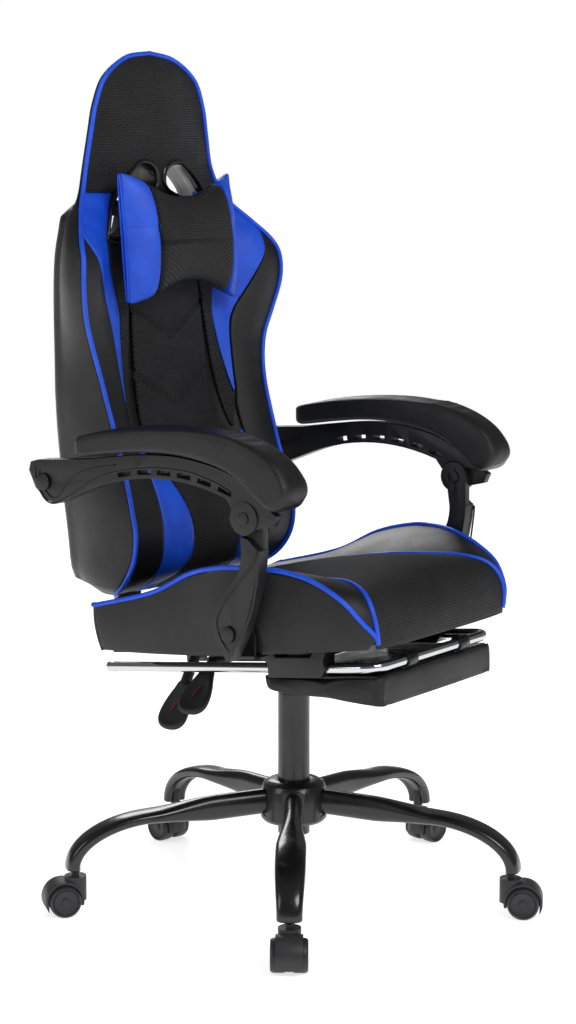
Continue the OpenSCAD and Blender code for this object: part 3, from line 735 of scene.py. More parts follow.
rims = {}
for side, word in both_sides:
    lip = [(side * x, z) for x, z in flow(belt_hole, 90, closed=True)]
    front = [(x, min(float(front_y(np.array(x), z)), 262) - 3.5, z) for x, z in lip]
    rings = []
    centre = np.array(lip).mean(0)
    for grow, depth in ((1.13, 5), (1.14, 1), (1.10, -2.5), (1.03, -3), (0.985, 0), (0.97, 4)):
        rings.append([grown(centre, x, y + depth, z, grow) for x, y, z in front])
    far = [(side * x, z) for x, z in flow(belt_hole_rear, 90, closed=True)]
    for grow in (0.97, 1.0):
        rings.append([grown(centre, x, 319, z, grow) for x, z in far])
    count = len(lip)
    faces = cell_faces(len(rings), count, wrap=True)
    last = (len(rings) - 1) * count
    faces += [(last + j, last + (j + 1) % count, (j + 1) % count, j) for j in range(count)]
    points = np.array(rings).reshape(-1, 3)
    rims[word] = make_piece(f"belt_rim_{word}", points, faces, smooth_plastic)
print("rims:", list(rims))

# %% The back rides and replaces
for piece in back_pieces + [back_shell, back_piping]:
    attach(piece, "back")
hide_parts("back_cushion")
for word, rim in rims.items():
    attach(rim, "back")
    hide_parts(f"belt_bezel_{word}")
print("the back is dressed")

# %% [markdown]
# ## The seat's cover
# The seat is a bucket: a wide air mesh middle that rolls over the front edge, and a leather
# bolster on each side between two lines of blue piping. Four lines per side give its shape:
# the inner piping, the outer piping, the lower edge of the side, and the middle's crown.

# %% Lines of the seat
rows_seat = 84
outer_line = flow([
    (246, 198, 480), (249, 86, 511), (252, 10, 548), (261, -50, 564), (255, -95, 567),
    (241, -135, 566), (229, -168, 560), (222, -200, 549), (214, -237, 527), (199, -262, 496),
    (181, -273, 474), (176, -274, 456),
], rows_seat)
inner_line = flow([
    (150, 198, 472), (148, 120, 485), (146, 20, 515), (145, -80, 533), (146, -146, 540),
    (151, -200, 543), (165, -234, 538), (175, -254, 527), (180, -267, 508), (180, -273, 486),
    (175, -274, 456),
], rows_seat)
lower_line = flow([
    (234, 192, 410), (246, 120, 416), (250, 30, 424), (251, -60, 433), (244, -110, 440),
    (232, -160, 446), (221, -205, 451), (205, -243, 455), (186, -264, 456), (176, -270, 455),
], rows_seat)


def between(line_a, line_b, cols, rise=0.0, way=(0, 0, 1)):
    """A grid between two lines of equal length, lifted in the middle by rise along way."""
    share = np.linspace(0, 1, cols)[None, :, None]
    lift = rise * 4 * share * (1 - share) * np.array(way, float)
    return line_a[:, None, :] * (1 - share) + line_b[:, None, :] * share + lift


mirror_x = np.array([-1, 1, 1])
middle_rows = np.linspace(0, 1, rows_seat)[:, None, None]
crown = np.array([0, -6.0, 0]) * ease(0.72, 0.95, middle_rows) + np.array([0, 0, 7.0]) * (
    1 - ease(0.8, 0.95, middle_rows))
share = np.linspace(-1, 1, 71)[None, :, None]
seat_middle = between(inner_line * mirror_x, inner_line, 71) + crown * (1 - share**4)
bolster = between(inner_line, outer_line, 21, 5.0)[:-4]
seat_side = between(outer_line, lower_line, 21, 4.0, (1, 0, 0))[:-2]
rear_ends = np.array([inner_line[0], outer_line[0]])
rear_high = np.vstack([rear_ends[::-1] * mirror_x, rear_ends])
rear_high = flow(rear_high + np.array([0, 3.0, 0]), 60)
rear_low = np.stack([np.linspace(-234, 234, 60), np.full(60, 196.0), np.full(60, 408.0)], 1)
seat_rear = between(rear_high, rear_low, 17, 5.0, (0, 1, 0))
print("the seat is", round(2 * outer_line[:, 0].max()), "mm wide over its bolsters")

# %% [markdown]
# ### Seat panels
# The same simulation swells the seat's panels between their pinned seams, none by more than
# 9 mm. The bolster and the side of the sitter's right are mirror images of the left ones.

# %% Puff and close the seat
seat_flat = {
    "middle": seat_middle, "bolster_left": bolster, "side_left": seat_side, "rear": seat_rear,
}
seat_skins = dict(zip(seat_flat, puff(list(seat_flat.values()), 6.0, 9.0)))
seat_skins["bolster_right"] = seat_skins["bolster_left"] * mirror_x
seat_skins["side_right"] = seat_skins["side_left"] * mirror_x
faces_out = {
    "middle": (0, -0.3, 1), "bolster_left": (0, 0, 1), "bolster_right": (0, 0, 1),
    "rear": (0, 1, 0), "side_left": (1, 0, 0), "side_right": (-1, 0, 0),
}
seat_pieces = []
for name, grid in seat_skins.items():
    cloth = mesh_fabric if name == "middle" else black_leather
    seat_pieces.append(solid_panel(f"seat_{name}", grid, 6, cloth, faces_out[name]))
seat_pipings = []
for word, turn in (("left", np.array([1, 1, 1])), ("right", mirror_x)):
    outer = flow((outer_line * turn + np.array([0, 0, 0.8]))[:-2], 260)
    inner = flow((inner_line * turn + np.array([0, 0, 1.0]))[6:-1], 220)
    seat_pipings.append(sweep(f"seat_piping_outer_{word}", outer, piping_r, blue_piping))
    seat_pipings.append(sweep(f"seat_piping_inner_{word}", inner, piping_r, blue_piping))
rear_cord = flow(np.vstack([rear_high[::6], rear_high[-1:]]) + np.array([0, 1.0, 1.0]), 120)
seat_pipings.append(sweep("seat_piping_rear", rear_cord, piping_r, blue_piping))
print(len(seat_pieces), "seat panels and", len(seat_pipings), "lines of piping")

# %% [markdown]
# The foam under the panels is one closed loft, a few millimetres inside the cover, and its
# underside is the black dust cloth that is stapled to the board.

# %% The seat's foam
def seat_ring(k):
    """Points across the foam at one row of the seat, over the top and back underneath."""
    low, out, inn = lower_line[k].copy(), outer_line[k].copy(), inner_line[k].copy()
    out = out - np.array([5, 0, 7])
    low = low - np.array([6, 0, -2])
    inn = inn - np.array([0, 0, 7])
    shift = np.array([0, 5.0 * ease(0.8, 1, k / rows_seat) - (4.0 if k < 1 else 0.0), 0])
    half = [low, out, inn, np.array([inn[0] * 0.5, inn[1], inn[2]])]
    right = [p + shift for p in half]
    left = [p * mirror_x for p in right[::-1]]
    floor = [np.array([x, low[1], low[2]]) + shift for x in np.linspace(-low[0] + 8, low[0] - 8, 5)]
    return [tuple(p) for p in right + left + floor]


seat_foam = loft("seat_foam", [seat_ring(k) for k in range(0, rows_seat - 3, 2)], black_cloth)
for piece in seat_pieces + seat_pipings + [seat_foam]:
    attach(piece, "seat")
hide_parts("seat_cushion")
print("the seat is dressed")

# %% [markdown]
# ## The head pillow
# The pillow is a bolster drawn in at its waist: an air mesh middle and two blue ends that taper
# to an upright edge. It is lofted across the chair as closed rings, then blown up as one bag, so
# its mesh and leather share their wrinkles, and cut into its three cloths at the seams.

# %% The pillow
pillow_top = by_height([(1098, 0), (1101, 40), (1119, 92), (1131, 122), (1134, 138)])
pillow_low = by_height([(966, 0), (962, 40), (944, 92), (935, 122), (934, 138)])
pillow_front = by_height([(177, 0), (177, 40), (183, 92), (200, 120), (221, 138)])
pillow_back = by_height([(246, 0), (246, 40), (244, 92), (238, 120), (227, 138)])
pillow_seam = 92
pillow_half = 138


def pillow_ring(x, count=56):
    reach = abs(x)
    top, low = pillow_top(reach), pillow_low(reach)
    front, rear = pillow_front(reach), pillow_back(reach)
    points = []
    for a in np.linspace(0, 2 * math.pi, count, endpoint=False):
        z = (top + low) / 2 + (top - low) / 2 * math.sin(a)
        lean = (z - 1034) * 0.13
        depth = math.copysign(abs(math.cos(a)) ** 0.8, math.cos(a))
        middle, half = (front + rear) / 2, (rear - front) / 2
        points.append((x, middle + lean * 0.6 - half * depth, z))
    return points


seam_steps = np.linspace(-pillow_seam, pillow_seam, 39)
end_steps = np.linspace(pillow_seam, pillow_half, 12)[1:]
pillow_x = np.concatenate([-end_steps[::-1], seam_steps, end_steps])
pillow_rings = np.array([pillow_ring(x) for x in pillow_x])


def blow_up(rings, pressure, cap):
    """Blows up a closed bag of rings, keeping its numbering."""
    rows, cols = rings.shape[:2]
    points = rings.reshape(-1, 3)
    ends = [*range(cols), *range((rows - 1) * cols, rows * cols)]
    return swell(points, cell_faces(rows, cols, wrap=True), ends, pressure, cap).reshape(rings.shape)


pillow_rings = blow_up(pillow_rings, 6.0, 9.0)
near_seam = np.exp(-((np.abs(pillow_x) - pillow_seam) / 2.2) ** 2)[:, None, None]
ring_middles = pillow_rings.mean(1, keepdims=True)
pillow_rings += (ring_middles - pillow_rings) * near_seam * 0.07
cross_seam_z = 1051
on_ends = (np.abs(pillow_x) > pillow_seam)[:, None, None]
cross = np.exp(-((pillow_rings[:, :, 2:] - cross_seam_z) / 7.0) ** 2) * on_ends
pillow_rings += (ring_middles - pillow_rings) * cross * np.array([0, 0.16, 0])
edge_count = len(end_steps)


def pillow_part(name, rings, material):
    """A closed stretch of the pillow with a finer skin."""
    count = rings.shape[1]
    flat = np.stack([
        np.concatenate([[0], np.cumsum(np.linalg.norm(np.diff(r, axis=0), axis=1))]) for r in rings
    ])
    uv = np.stack([rings[:, :, 0], flat], 2).reshape(-1, 2)
    piece = loft(name, rings, material, uv)
    piece.modifiers.new("finer", "SUBSURF").levels = 1
    piece.data = baked(piece)
    piece.modifiers.clear()
    return piece


pillow_pieces = [
    pillow_part("pillow_middle", pillow_rings[edge_count:-edge_count], mesh_fabric),
    pillow_part("pillow_end_right", pillow_rings[:edge_count + 1], blue_leather),
    pillow_part("pillow_end_left", pillow_rings[-edge_count - 1:], blue_leather),
]
for side, word in ((0, "right"), (-1, "left")):
    edge = pillow_rings[side]
    pillow_pieces.append(sweep(
        f"pillow_edge_{word}", flow(edge[::3], 90, closed=True), 1.6, blue_piping, 8, True))
for piece in pillow_pieces:
    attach(piece, "pillow")
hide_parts("head_pillow")
print("pillow:", [p.name for p in pillow_pieces])

# %% [markdown]
# The pillow's strap is flat webbing. It runs from the pillow's back through both belt holes and
# round behind the back, so it is drawn as one flat band along a rounded path.

# %% The strap
strap_z = 1079
half_strap = [(92, 244), (96, 262), (97, 300), (94, 321), (84, 325), (40, 325.5)]
strap_path = [(-x, y, strap_z) for x, y in half_strap] + [(0, 325.5, strap_z)]
strap_path += [(x, y, strap_z) for x, y in half_strap[::-1]]


def band(name, path, width, thick, material):
    """A flat band whose width stands upright, along a path in the X-Y plane."""
    line = flow(path, 150)
    ahead = np.gradient(line, axis=0)
    ahead /= np.linalg.norm(ahead, axis=1, keepdims=True)
    out = np.cross(ahead, (0, 0, 1))
    corners = [(0.5, -0.5), (0.5, 0.5), (0.35, 0.53), (-0.35, 0.53), (-0.5, 0.5), (-0.5, -0.5),
               (-0.35, -0.53), (0.35, -0.53)]
    rings = [[tuple(p + out_k * thick * a + np.array([0, 0, width * b])) for a, b in corners]
             for p, out_k in zip(line, out)]
    return loft(name, rings, material)


strap = band("pillow_webbing", strap_path, 22, 2.2, webbing)
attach(strap, "pillow")
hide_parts("pillow_strap")
print("strap replaces the plain band")

# %% [markdown]
# ## Moulded and pressed parts that keep their CAD shape
# Many parts already have the right shape and only lack what a mould or a press leaves: rounded
# edges. A copy of the part's mesh has its loose triangles joined and its flat faces cleaned,
# then a Bevel rounds every sharp edge. The copy rides where the part does and stands for it.

# %% Easing the edges
body_nodes = frame["record"]["behaviour"]["bodies"]
node_body = {node: body for body, nodes in body_nodes.items() for node in nodes}


def eased(node, material, width, segments=3, sharp=28):
    """A copy of a CAD node with rounded edges, riding on the node's body."""
    source = frame["nodes"][node].data.copy()
    work = bmesh.new()
    work.from_mesh(source)
    bmesh.ops.remove_doubles(work, verts=work.verts, dist=0.00003)
    bmesh.ops.dissolve_limit(
        work, angle_limit=math.radians(0.6), verts=work.verts, edges=work.edges)
    work.to_mesh(source)
    work.free()
    source.materials.clear()
    source.materials.append(material)
    obj = bpy.data.objects.new(f"{node}_finished", source)
    bpy.context.scene.collection.objects.link(obj)
    if width > 0:
        bevel = obj.modifiers.new("bevel", "BEVEL")
        bevel.width = width * MM
        bevel.segments = segments
        bevel.limit_method = "ANGLE"
        bevel.angle_limit = math.radians(sharp)
        bevel.harden_normals = False
    obj.data = baked(obj)
    obj.modifiers.clear()
    obj.data.shade_smooth()
    obj.data.set_sharp_from_angle(angle=math.radians(40))
    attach(obj, node_body[node])
    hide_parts(node)
    return obj


eased("hub", satin_paint, 3.0)
for word in ("right", "left"):
    eased(f"arm_frame_{word}", arm_plastic, 2.2)
    eased(f"arm_post_{word}", arm_plastic, 2.4)
    eased(f"footrest_sleeve_{word}", arm_plastic, 1.6)
    eased(f"post_bracket_{word}", satin_paint, 0.8, 2)
    eased(f"post_cap_{word}", smooth_plastic, 1.0)
    eased(f"arm_pivot_{word}", smooth_plastic, 1.5)
    eased(f"knuckle_bolt_{word}", smooth_plastic, 0.8)
eased("mechanism", satin_paint, 1.2, 2)
eased("back_bar", satin_paint, 1.5, 2)
eased("footrest_tube", chrome, 0.4, 2)
eased("footrest_board", smooth_plastic, 0.8, 2)
eased("seat_board", black_cloth, 0.8, 2)
for k in range(1, 6):
    eased(f"caster_hood_{k}", caster_plastic, 1.6)
eased("stem_sockets", smooth_plastic, 1.0, 2)

# %% Parts that only need their finish
node_finish = {
    "column_tube": satin_paint, "guide_bush": smooth_plastic, "gas_chamber": satin_paint,
    "thrust_bearing": plain_steel, "piston_rod": chrome, "rod_clip": plain_steel,
    "recline_pin": plain_steel, "back_frame": satin_paint, "back_bolts": plain_steel,
    "pan_bolts": plain_steel, "rail_stops": plain_steel,
}
for node, finish in node_finish.items():
    for socket in frame["nodes"][node].material_slots:
        socket.material = finish
    frame["nodes"][node].data.shade_smooth()
    frame["nodes"][node].data.set_sharp_from_angle(angle=math.radians(30))
print(len(node_finish), "parts keep their mesh")

# %% [markdown]
# ## Legs
# Each leg starts as a tall oval tube at the hub. It runs level, then bends down through a
# quarter of an ellipse while its press-formed outer half flattens to an oval lying on its side.
# The shape follows that rule exactly, so it is lofted from the rule, much finer than the frame.

# %% Lofting the legs
stem_circle_r, base_turn, hub_flat_r = 353, 214.4, 49
leg_root_z, bend_start_r, leg_end_r, leg_end_z = 154, 220, 357, 72


def leg_ring(t, sides=44):
    """A ring round a leg, t going from 0 at the hub to 1 at the tip; X is outwards."""
    if t < 0.4:
        r = hub_flat_r + (bend_start_r - hub_flat_r) * t / 0.4
        z, slope = leg_root_z - 9 * t / 0.4, 0.0
    else:
        a = math.pi / 2 * (t - 0.4) / 0.6
        drop, reach = 145 - leg_end_z, leg_end_r - bend_start_r
        r, z = bend_start_r + reach * math.sin(a), leg_end_z + drop * math.cos(a)
        slope = math.atan2(drop * math.sin(a), reach * math.cos(a))
    flat, tip = float(ease(0.18, 0.46, t)), float(ease(0.6, 1, t))
    high = 40 + (20 - 40) * flat + 2 * tip
    wide = 28 + (46 - 28) * flat - 8 * tip
    ring = []
    for a in np.linspace(0, 2 * math.pi, sides, endpoint=False):
        square = 0.86 - 0.12 * flat
        u = wide / 2 * math.copysign(abs(math.cos(a)) ** square, math.cos(a))
        v = high / 2 * math.copysign(abs(math.sin(a)) ** square, math.sin(a))
        hollow = 5.5 * flat * math.exp(-((u / (wide * 0.27)) ** 4)) if v < 0 else 0.0
        v += hollow
        ring.append((r + v * math.sin(slope), u, z + v * math.cos(slope)))
    return ring


steps = np.concatenate([np.linspace(-0.01, 0.99, 88), [1.0, 1.006]])
for k in range(5):
    turn = math.radians(base_turn + 72 * k)
    c, s = math.cos(turn), math.sin(turn)
    spin = np.array([[c, -s, 0], [s, c, 0], [0, 0, 1]])
    rings = np.array([leg_ring(min(t, 1.0)) for t in steps])
    middle = rings[-1].mean(0)
    rings[-1] = middle + (rings[-1] - middle) * 0.93 + np.array([0, 0, -1.2])
    rings[-1][:, 2] = rings[-2][:, 2].mean() - 1.5
    leg = loft(f"leg_{k + 1}", rings @ spin.T, gloss_paint)
    leg.data.set_sharp_from_angle(angle=math.radians(50))
    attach(leg, "base")
    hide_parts(f"leg_tube_{k + 1}")
print("legs reach", leg_end_r, "mm from the column")

# %% [markdown]
# ## Wheels
# A caster wheel is a turned shape, so it is drawn as half a section and turned round its axle.
# The face is slightly dished, with a groove near the rim and a round cap in the middle, and
# the tread has a soft shoulder.

# %% Turning the wheels
caster_turn, trail, wheel_r = [0, 12, -10, 8, 0], 20, 25
wheel_section = [
    (0, 26.6), (5.5, 26.6), (6.5, 26.0), (7.0, 24.9), (8.0, 24.7), (14.0, 25.3), (17.6, 26.6),
    (18.4, 26.8), (18.8, 25.8), (19.4, 25.6), (20.0, 26.4), (21.2, 27.4), (22.6, 27.2),
    (24.0, 25.6), (24.8, 23.2), (25.0, 20.0), (25.0, 9.5), (24.4, 6.2), (23.2, 4.9),
    (21.5, 4.6), (3.2, 4.6), (3.0, 0.4),
]


def turned(name, section, place, axis, material, side, steps=64):
    """A closed body from a half section of (radius, distance along the axis) pairs."""
    axis = np.array(axis, float) * side
    across = np.cross(axis, (0, 0, 1))
    up = np.array([0, 0, 1.0])
    rings = []
    for radius, along in section:
        a = np.linspace(0, 2 * math.pi, steps, endpoint=False)[:, None]
        round_it = np.cos(a) * across + np.sin(a) * up
        rings.append(np.array(place) + axis * along + max(radius, 0.02) * round_it)
    return loft(name, rings, material)


for k in range(5):
    out = math.radians(base_turn + 72 * k)
    heading = out + math.radians(caster_turn[k])
    stem = np.array([math.cos(out), math.sin(out), 0]) * stem_circle_r
    behind = np.array([math.cos(heading), math.sin(heading), 0]) * trail
    hub_point = stem + behind + np.array([0, 0, wheel_r])
    axle = (-math.sin(heading), math.cos(heading), 0)
    pair = [turned(f"wheel_{k + 1}_{word}", wheel_section, hub_point, axle, wheel_plastic, side)
            for side, word in ((1, "a"), (-1, "b"))]
    for wheel in pair:
        wheel.data.set_sharp_from_angle(angle=math.radians(38))
        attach(wheel, f"wheels_{k + 1}")
    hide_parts(f"caster_wheels_{k + 1}")
print("ten wheels turned from", len(wheel_section), "points")

# %% [markdown]
# ## Arm pads
# An arm pad follows the arched beam. It is flat underneath where it sits on the beam, and its
# leather is drawn tightly over foam, so its section is a rounded rectangle that is fuller on
# top. Rings along the arch give the shape and the cloth gives the last of the softness.

# %% The arm pads
arm_x, pad_half_w, pad_end_share = 283, 33.5, 0.075
pad_under = flow([
    (186, 733), (180, 727), (172, 714.5), (110, 722), (55, 728), (0, 729), (-50, 723.5),
    (-95, 712.5), (-128, 695.5), (-155, 674), (-173, 662), (-190, 662), (-205, 674),
], 90)
pad_over = flow([
    (187, 736), (186, 741), (178, 748), (120, 762), (60, 770), (0, 773.5), (-50, 772.5),
    (-100, 766), (-146, 752), (-182, 732), (-204, 708), (-211, 688), (-207, 678),
], 90)


def pad_ring(k, count=40):
    low, top = pad_under[k], pad_over[k]
    t = k / (len(pad_under) - 1)
    end = min(t, 1 - t)
    fall = 1 - np.clip(end / pad_end_share, 0, 1)
    half = pad_half_w * float(np.sqrt(np.clip(1 - fall**2, 0.02, 1)))
    ring = []
    for a in np.linspace(0, 2 * math.pi, count, endpoint=False):
        c, s = math.cos(a), math.sin(a)
        wide = math.copysign(abs(c) ** 0.55, c) * half
        power = 0.62 if s > 0 else 0.38
        rise = 0.5 + 0.5 * math.copysign(abs(s) ** power, s)
        y, z = low + (top - low) * rise
        ring.append((arm_x + wide, y, z))
    return ring


pad_rings = np.array([pad_ring(k) for k in range(len(pad_under))])
pad_rings = blow_up(pad_rings, 3.0, 1.6)
for side, word in both_sides:
    pad = loft(f"arm_pad_{word}_cover", pad_rings * np.array([side, 1, 1]), black_leather)
    pad.modifiers.new("finer", "SUBSURF").levels = 1
    pad.data = baked(pad)
    pad.modifiers.clear()
    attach(pad, f"arm_{word}")
    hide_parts(f"arm_pad_{word}")
print("arm pads:", len(pad_rings), "rings each")

# %% [markdown]
# ## The footrest pad
# The pad is a soft slab sewn from a top, a bottom and a boxing strip. It hangs under its board
# at the same slope as the seat pan, thick at the hinged edge and thinner at the far one.

# %% The footrest pad
pan_tilt = math.radians(6.7)
pan_z = 427.5


def on_pan(x, u, w):
    """A point given along the sloping seat pan: u runs along it and w away from it."""
    c, s = math.cos(pan_tilt), math.sin(pan_tilt)
    return (x, u * c + w * s, pan_z - u * s + w * c)


rest_section = [
    (-262.5, -52), (-259, -88), (-250, -92.2), (-170, -84), (-92, -76), (-68, -71.5),
    (-52, -66), (-48.5, -54), (-52, -48.6), (-90, -48), (-170, -48), (-250, -48),
]
rest_line = flow(rest_section, 96, closed=True)
rest_middle = rest_line.mean(0)
rest_rings = []
rest_half_w, rest_round, rest_round_share = 160, 15.0, 0.10
close = np.linspace(0, 1, 9) ** 2 * rest_round_share
rest_reach = np.linalg.norm(rest_line - rest_middle, axis=1)
for s in np.concatenate([-1 + close, np.linspace(-0.88, 0.88, 45), 1 - close[::-1]]):
    edge = (1 - abs(s)) / rest_round_share
    drawn_in = rest_round * (1 - math.sqrt(max(0.0, 1 - (1 - min(edge, 1)) ** 2)))
    shrink = 1 - drawn_in / rest_reach
    ring = rest_middle + (rest_line - rest_middle) * shrink[:, None]
    rest_rings.append([on_pan(s * rest_half_w, u, w) for u, w in ring])
rest_rings = blow_up(np.array(rest_rings), 3.0, 2.0)
rest_pad = loft("footrest_pad_cover", rest_rings, black_leather)
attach(rest_pad, "footrest_flap")
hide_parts("footrest_pad")
print("footrest pad:", rest_rings.shape[0], "rings")

# %% [markdown]
# ## Levers
# Two levers hang from the mechanism on the sitter's right. Each has a bent rod, a ribbed rubber
# boot on its slope, and a flat paddle that widens downwards. A small red inlay stands in for the
# printed marks. The boot's ribs are the same ring repeated along the rod, so Geometry Nodes
# makes them, and the same tree later makes every stitch.

# %% A tree that repeats a shape along a line
def repeat_tree(name, ring):
    """Repeats a bead, or a ring, along a line of edges, one every Pitch metres."""
    tree = bpy.data.node_groups.new(name, "GeometryNodeTree")
    face = tree.interface
    face.new_socket("Geometry", in_out="INPUT", socket_type="NodeSocketGeometry")
    for key in ("Pitch", "Length", "Thickness"):
        face.new_socket(key, in_out="INPUT", socket_type="NodeSocketFloat")
    face.new_socket("Seed", in_out="INPUT", socket_type="NodeSocketInt")
    face.new_socket("Material", in_out="INPUT", socket_type="NodeSocketMaterial")
    face.new_socket("Geometry", in_out="OUTPUT", socket_type="NodeSocketGeometry")

    add = partial(wired, tree)
    given = add("NodeGroupInput").outputs
    line = add("GeometryNodeMeshToCurve", {0: given["Geometry"]})
    spaced = {"Curve": line.outputs[0], "Length": given["Pitch"]}
    even = add("GeometryNodeResampleCurve", spaced, mode="LENGTH")
    way = add("GeometryNodeInputTangent").outputs[0]
    turn = add("FunctionNodeAlignRotationToVector", {"Vector": way}, axis="Z").outputs[0]
    if ring:
        hoop, wire = (
            add("GeometryNodeCurvePrimitiveCircle", {"Resolution": sides, "Radius": r}).outputs[0]
            for sides, r in ((40, 1.0), (10, 0.17)))
        shape = add("GeometryNodeCurveToMesh", {"Curve": hoop, "Profile Curve": wire}).outputs[0]
    else:
        ball = {"Segments": 8, "Rings": 6, "Radius": 1.0}
        shape = add("GeometryNodeMeshUVSphere", ball).outputs[0]
    spread = {2: 0.9, 3: 1.05, "Seed": given["Seed"]}
    uneven = add("FunctionNodeRandomValue", spread, data_type="FLOAT").outputs[1]
    reach = add("ShaderNodeMath", {0: given["Length"], 1: uneven}, operation="MULTIPLY").outputs[0]
    wide = given["Thickness"]
    size = add("ShaderNodeCombineXYZ", {0: wide, 1: wide, 2: reach}).outputs[0]
    placed = add("GeometryNodeInstanceOnPoints", {
        "Points": even.outputs[0], "Instance": shape, "Rotation": turn, "Scale": size})
    real = add("GeometryNodeRealizeInstances", {0: placed.outputs[0]})
    smooth = add("GeometryNodeSetShadeSmooth", {0: real.outputs[0]})
    paint = add("GeometryNodeSetMaterial", {
        "Geometry": smooth.outputs[0], "Material": given["Material"]})
    out = add("NodeGroupOutput")
    tree.links.new(paint.outputs[0], out.inputs[0])
    return tree


bead_tree, ring_tree = repeat_tree("stitches", False), repeat_tree("ribs", True)


def repeated(name, tree, line, pitch, length, thick, material, seed=1):
    """The mesh of a shape repeated along a line; sizes in millimetres, length being half."""
    points = np.asarray(line, float) * MM
    mesh = bpy.data.meshes.new(name)
    mesh.from_pydata(points.tolist(), [(k, k + 1) for k in range(len(points) - 1)], [])
    obj = bpy.data.objects.new(name, mesh)
    bpy.context.scene.collection.objects.link(obj)
    modifier = obj.modifiers.new("repeat", "NODES")
    modifier.node_group = tree
    values = {
        "Pitch": pitch * MM, "Length": length * MM, "Thickness": thick * MM,
        "Seed": seed, "Material": material,
    }
    for item in tree.interface.items_tree:
        if item.in_out == "INPUT" and item.name in values:
            modifier[item.identifier] = values[item.name]
    obj.data = baked(obj)
    obj.modifiers.clear()
    return obj


print("trees:", bead_tree.name, ring_tree.name)

# %% The paddles, rods and boots
red_inlay = moulded("red_inlay", (0.20, 0.010, 0.012), 0.45)
lever_z = 386.0
paddle_outline = flow([
    (-4, -9), (6, -13), (24, -20), (42, -24), (56, -22.5), (65, -14), (67.5, 0), (65, 14),
    (56, 22.5), (42, 24), (24, 20), (6, 13), (-4, 9), (-6, 0),
], 64, closed=True)



def lever_set(word, y, x_turn, slope, start):
    """Paddle, inlay, rod and boot of a lever whose rod turns down at x_turn."""
    a = math.radians(slope)
    way = np.array([-math.sin(math.pi / 2 - a), 0, -math.cos(math.pi / 2 - a)])
    face = np.array([way[2], 0, -way[0]])
    root = np.array([x_turn, y, lever_z])
    middle = root + way * (start + 36)

    def ring(lift, share):
        points = [((along - 33) * 1.12, across * 1.08) for along, across in paddle_outline]
        return [middle + way * p * share + np.array([0, 1, 0]) * q * share + face * lift
                for p, q in points]

    steps = [(-5.2, 0.80), (-5, 0.90), (-3.6, 0.97), (-1.5, 1), (1.5, 1), (3.6, 0.97),
             (5, 0.90), (5.2, 0.84), (4.5, 0.80)]
    paddle = loft(f"{word}_paddle", [ring(lift, share) for lift, share in steps], boot_rubber)
    slant = ((-10, -4), (0, 0), (10, 4))
    mark = flow([middle + way * p + np.array([0, q, 0]) + face * 4.5 for p, q in slant], 12)
    inlay = sweep(f"{word}_inlay", mark, 3.2, red_inlay, 12, flat=0.3)
    bend = [np.array([-64, y, lever_z]), np.array([x_turn + 12, y, lever_z])]
    bend += [root + way * 3, root + way * (start + 8)]
    rod = sweep(f"{word}_rod", flow(bend, 60), 4, smooth_plastic, 20)
    rib_line = flow([root + way * 2, root + way * (start + 1)], 30)
    ribs = repeated(f"{word}_ribs", ring_tree, rib_line, 3.4, 7.6, 7.6, boot_rubber)
    boot_line = flow([root + way * 0.5, root + way * (start + 2)], 12)
    core = sweep(f"{word}_boot", boot_line, 7.4, boot_rubber, 28)
    collar_line = flow([(-76, y, lever_z), (x_turn - 4, y, lever_z)], 8)
    collar = sweep(f"{word}_collar", collar_line, 6.6, boot_rubber, 28)
    for piece in (paddle, inlay, rod, ribs, core, collar):
        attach(piece, f"{word}_handle")
    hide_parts(f"{word}_lever")
    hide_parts(f"{word}_grip")
    return [paddle, inlay, rod, ribs, core, collar]


lever_pieces = lever_set("lift", 70, -118, 48, 20) + lever_set("recline", 118, -100, 56, 50)
print(len(lever_pieces), "pieces on the two levers")

# %% [markdown]
# ## Stitches
# Seams that show their thread get a row of small beads: two rows over each arm pad, one along
# each leg of the chevrons on the back, and one along the seam on each end of the pillow. Each
# stitch rides on the piece that it is sewn into.

# %% Thread on the arm pads
stitch = (4.6, 1.7, 0.55)  # pitch, half length, half thickness
stitch_slope = 0.577  # along a chevron's leg


def over_pad(k, side):
    """The line over the top of a pad's ring k, just clear of the leather."""
    ring = pad_rings[k]
    middle = ring.mean(0)
    top = ring[1:20]
    out = (top - middle) / np.linalg.norm(top - middle, axis=1, keepdims=True)
    return flow((top + out * 0.25) * np.array([side, 1, 1]), 60)


thread_rows = 0
for side, word in both_sides:
    for k in (57, 60):
        row = repeated(f"arm_stitch_{word}_{k}", bead_tree, over_pad(k, side), *stitch, thread, k)
        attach(row, f"arm_{word}")
        thread_rows += 1
print(thread_rows, "rows of thread on the pads")

# %% Thread on the chevrons and the pillow
def on_skin(grid, x, z):
    """The depth of a grid's surface at (x, z), from its four nearest points."""
    flat = grid.reshape(-1, 3)
    off = (flat[:, 0] - x) ** 2 + (flat[:, 2] - z) ** 2
    near = np.argsort(off)[:4]
    weight = 1 / (off[near] + 0.05)
    return float((flat[near, 1] * weight).sum() / weight.sum())


for foot, reach in ((878, 84), (769, 91)):
    for side in (-1, 1):
        steps = [(side * x, foot + x * stitch_slope) for x in np.linspace(1.5, reach - 3, 30)]
        rows = [(x, on_skin(back_skins["centre"], x, z) - 0.3, z) for x, z in steps]
        name = f"chevron_{foot}_{'a' if side > 0 else 'b'}"
        row = repeated(name, bead_tree, rows, *stitch, thread, foot)
        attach(row, "back")

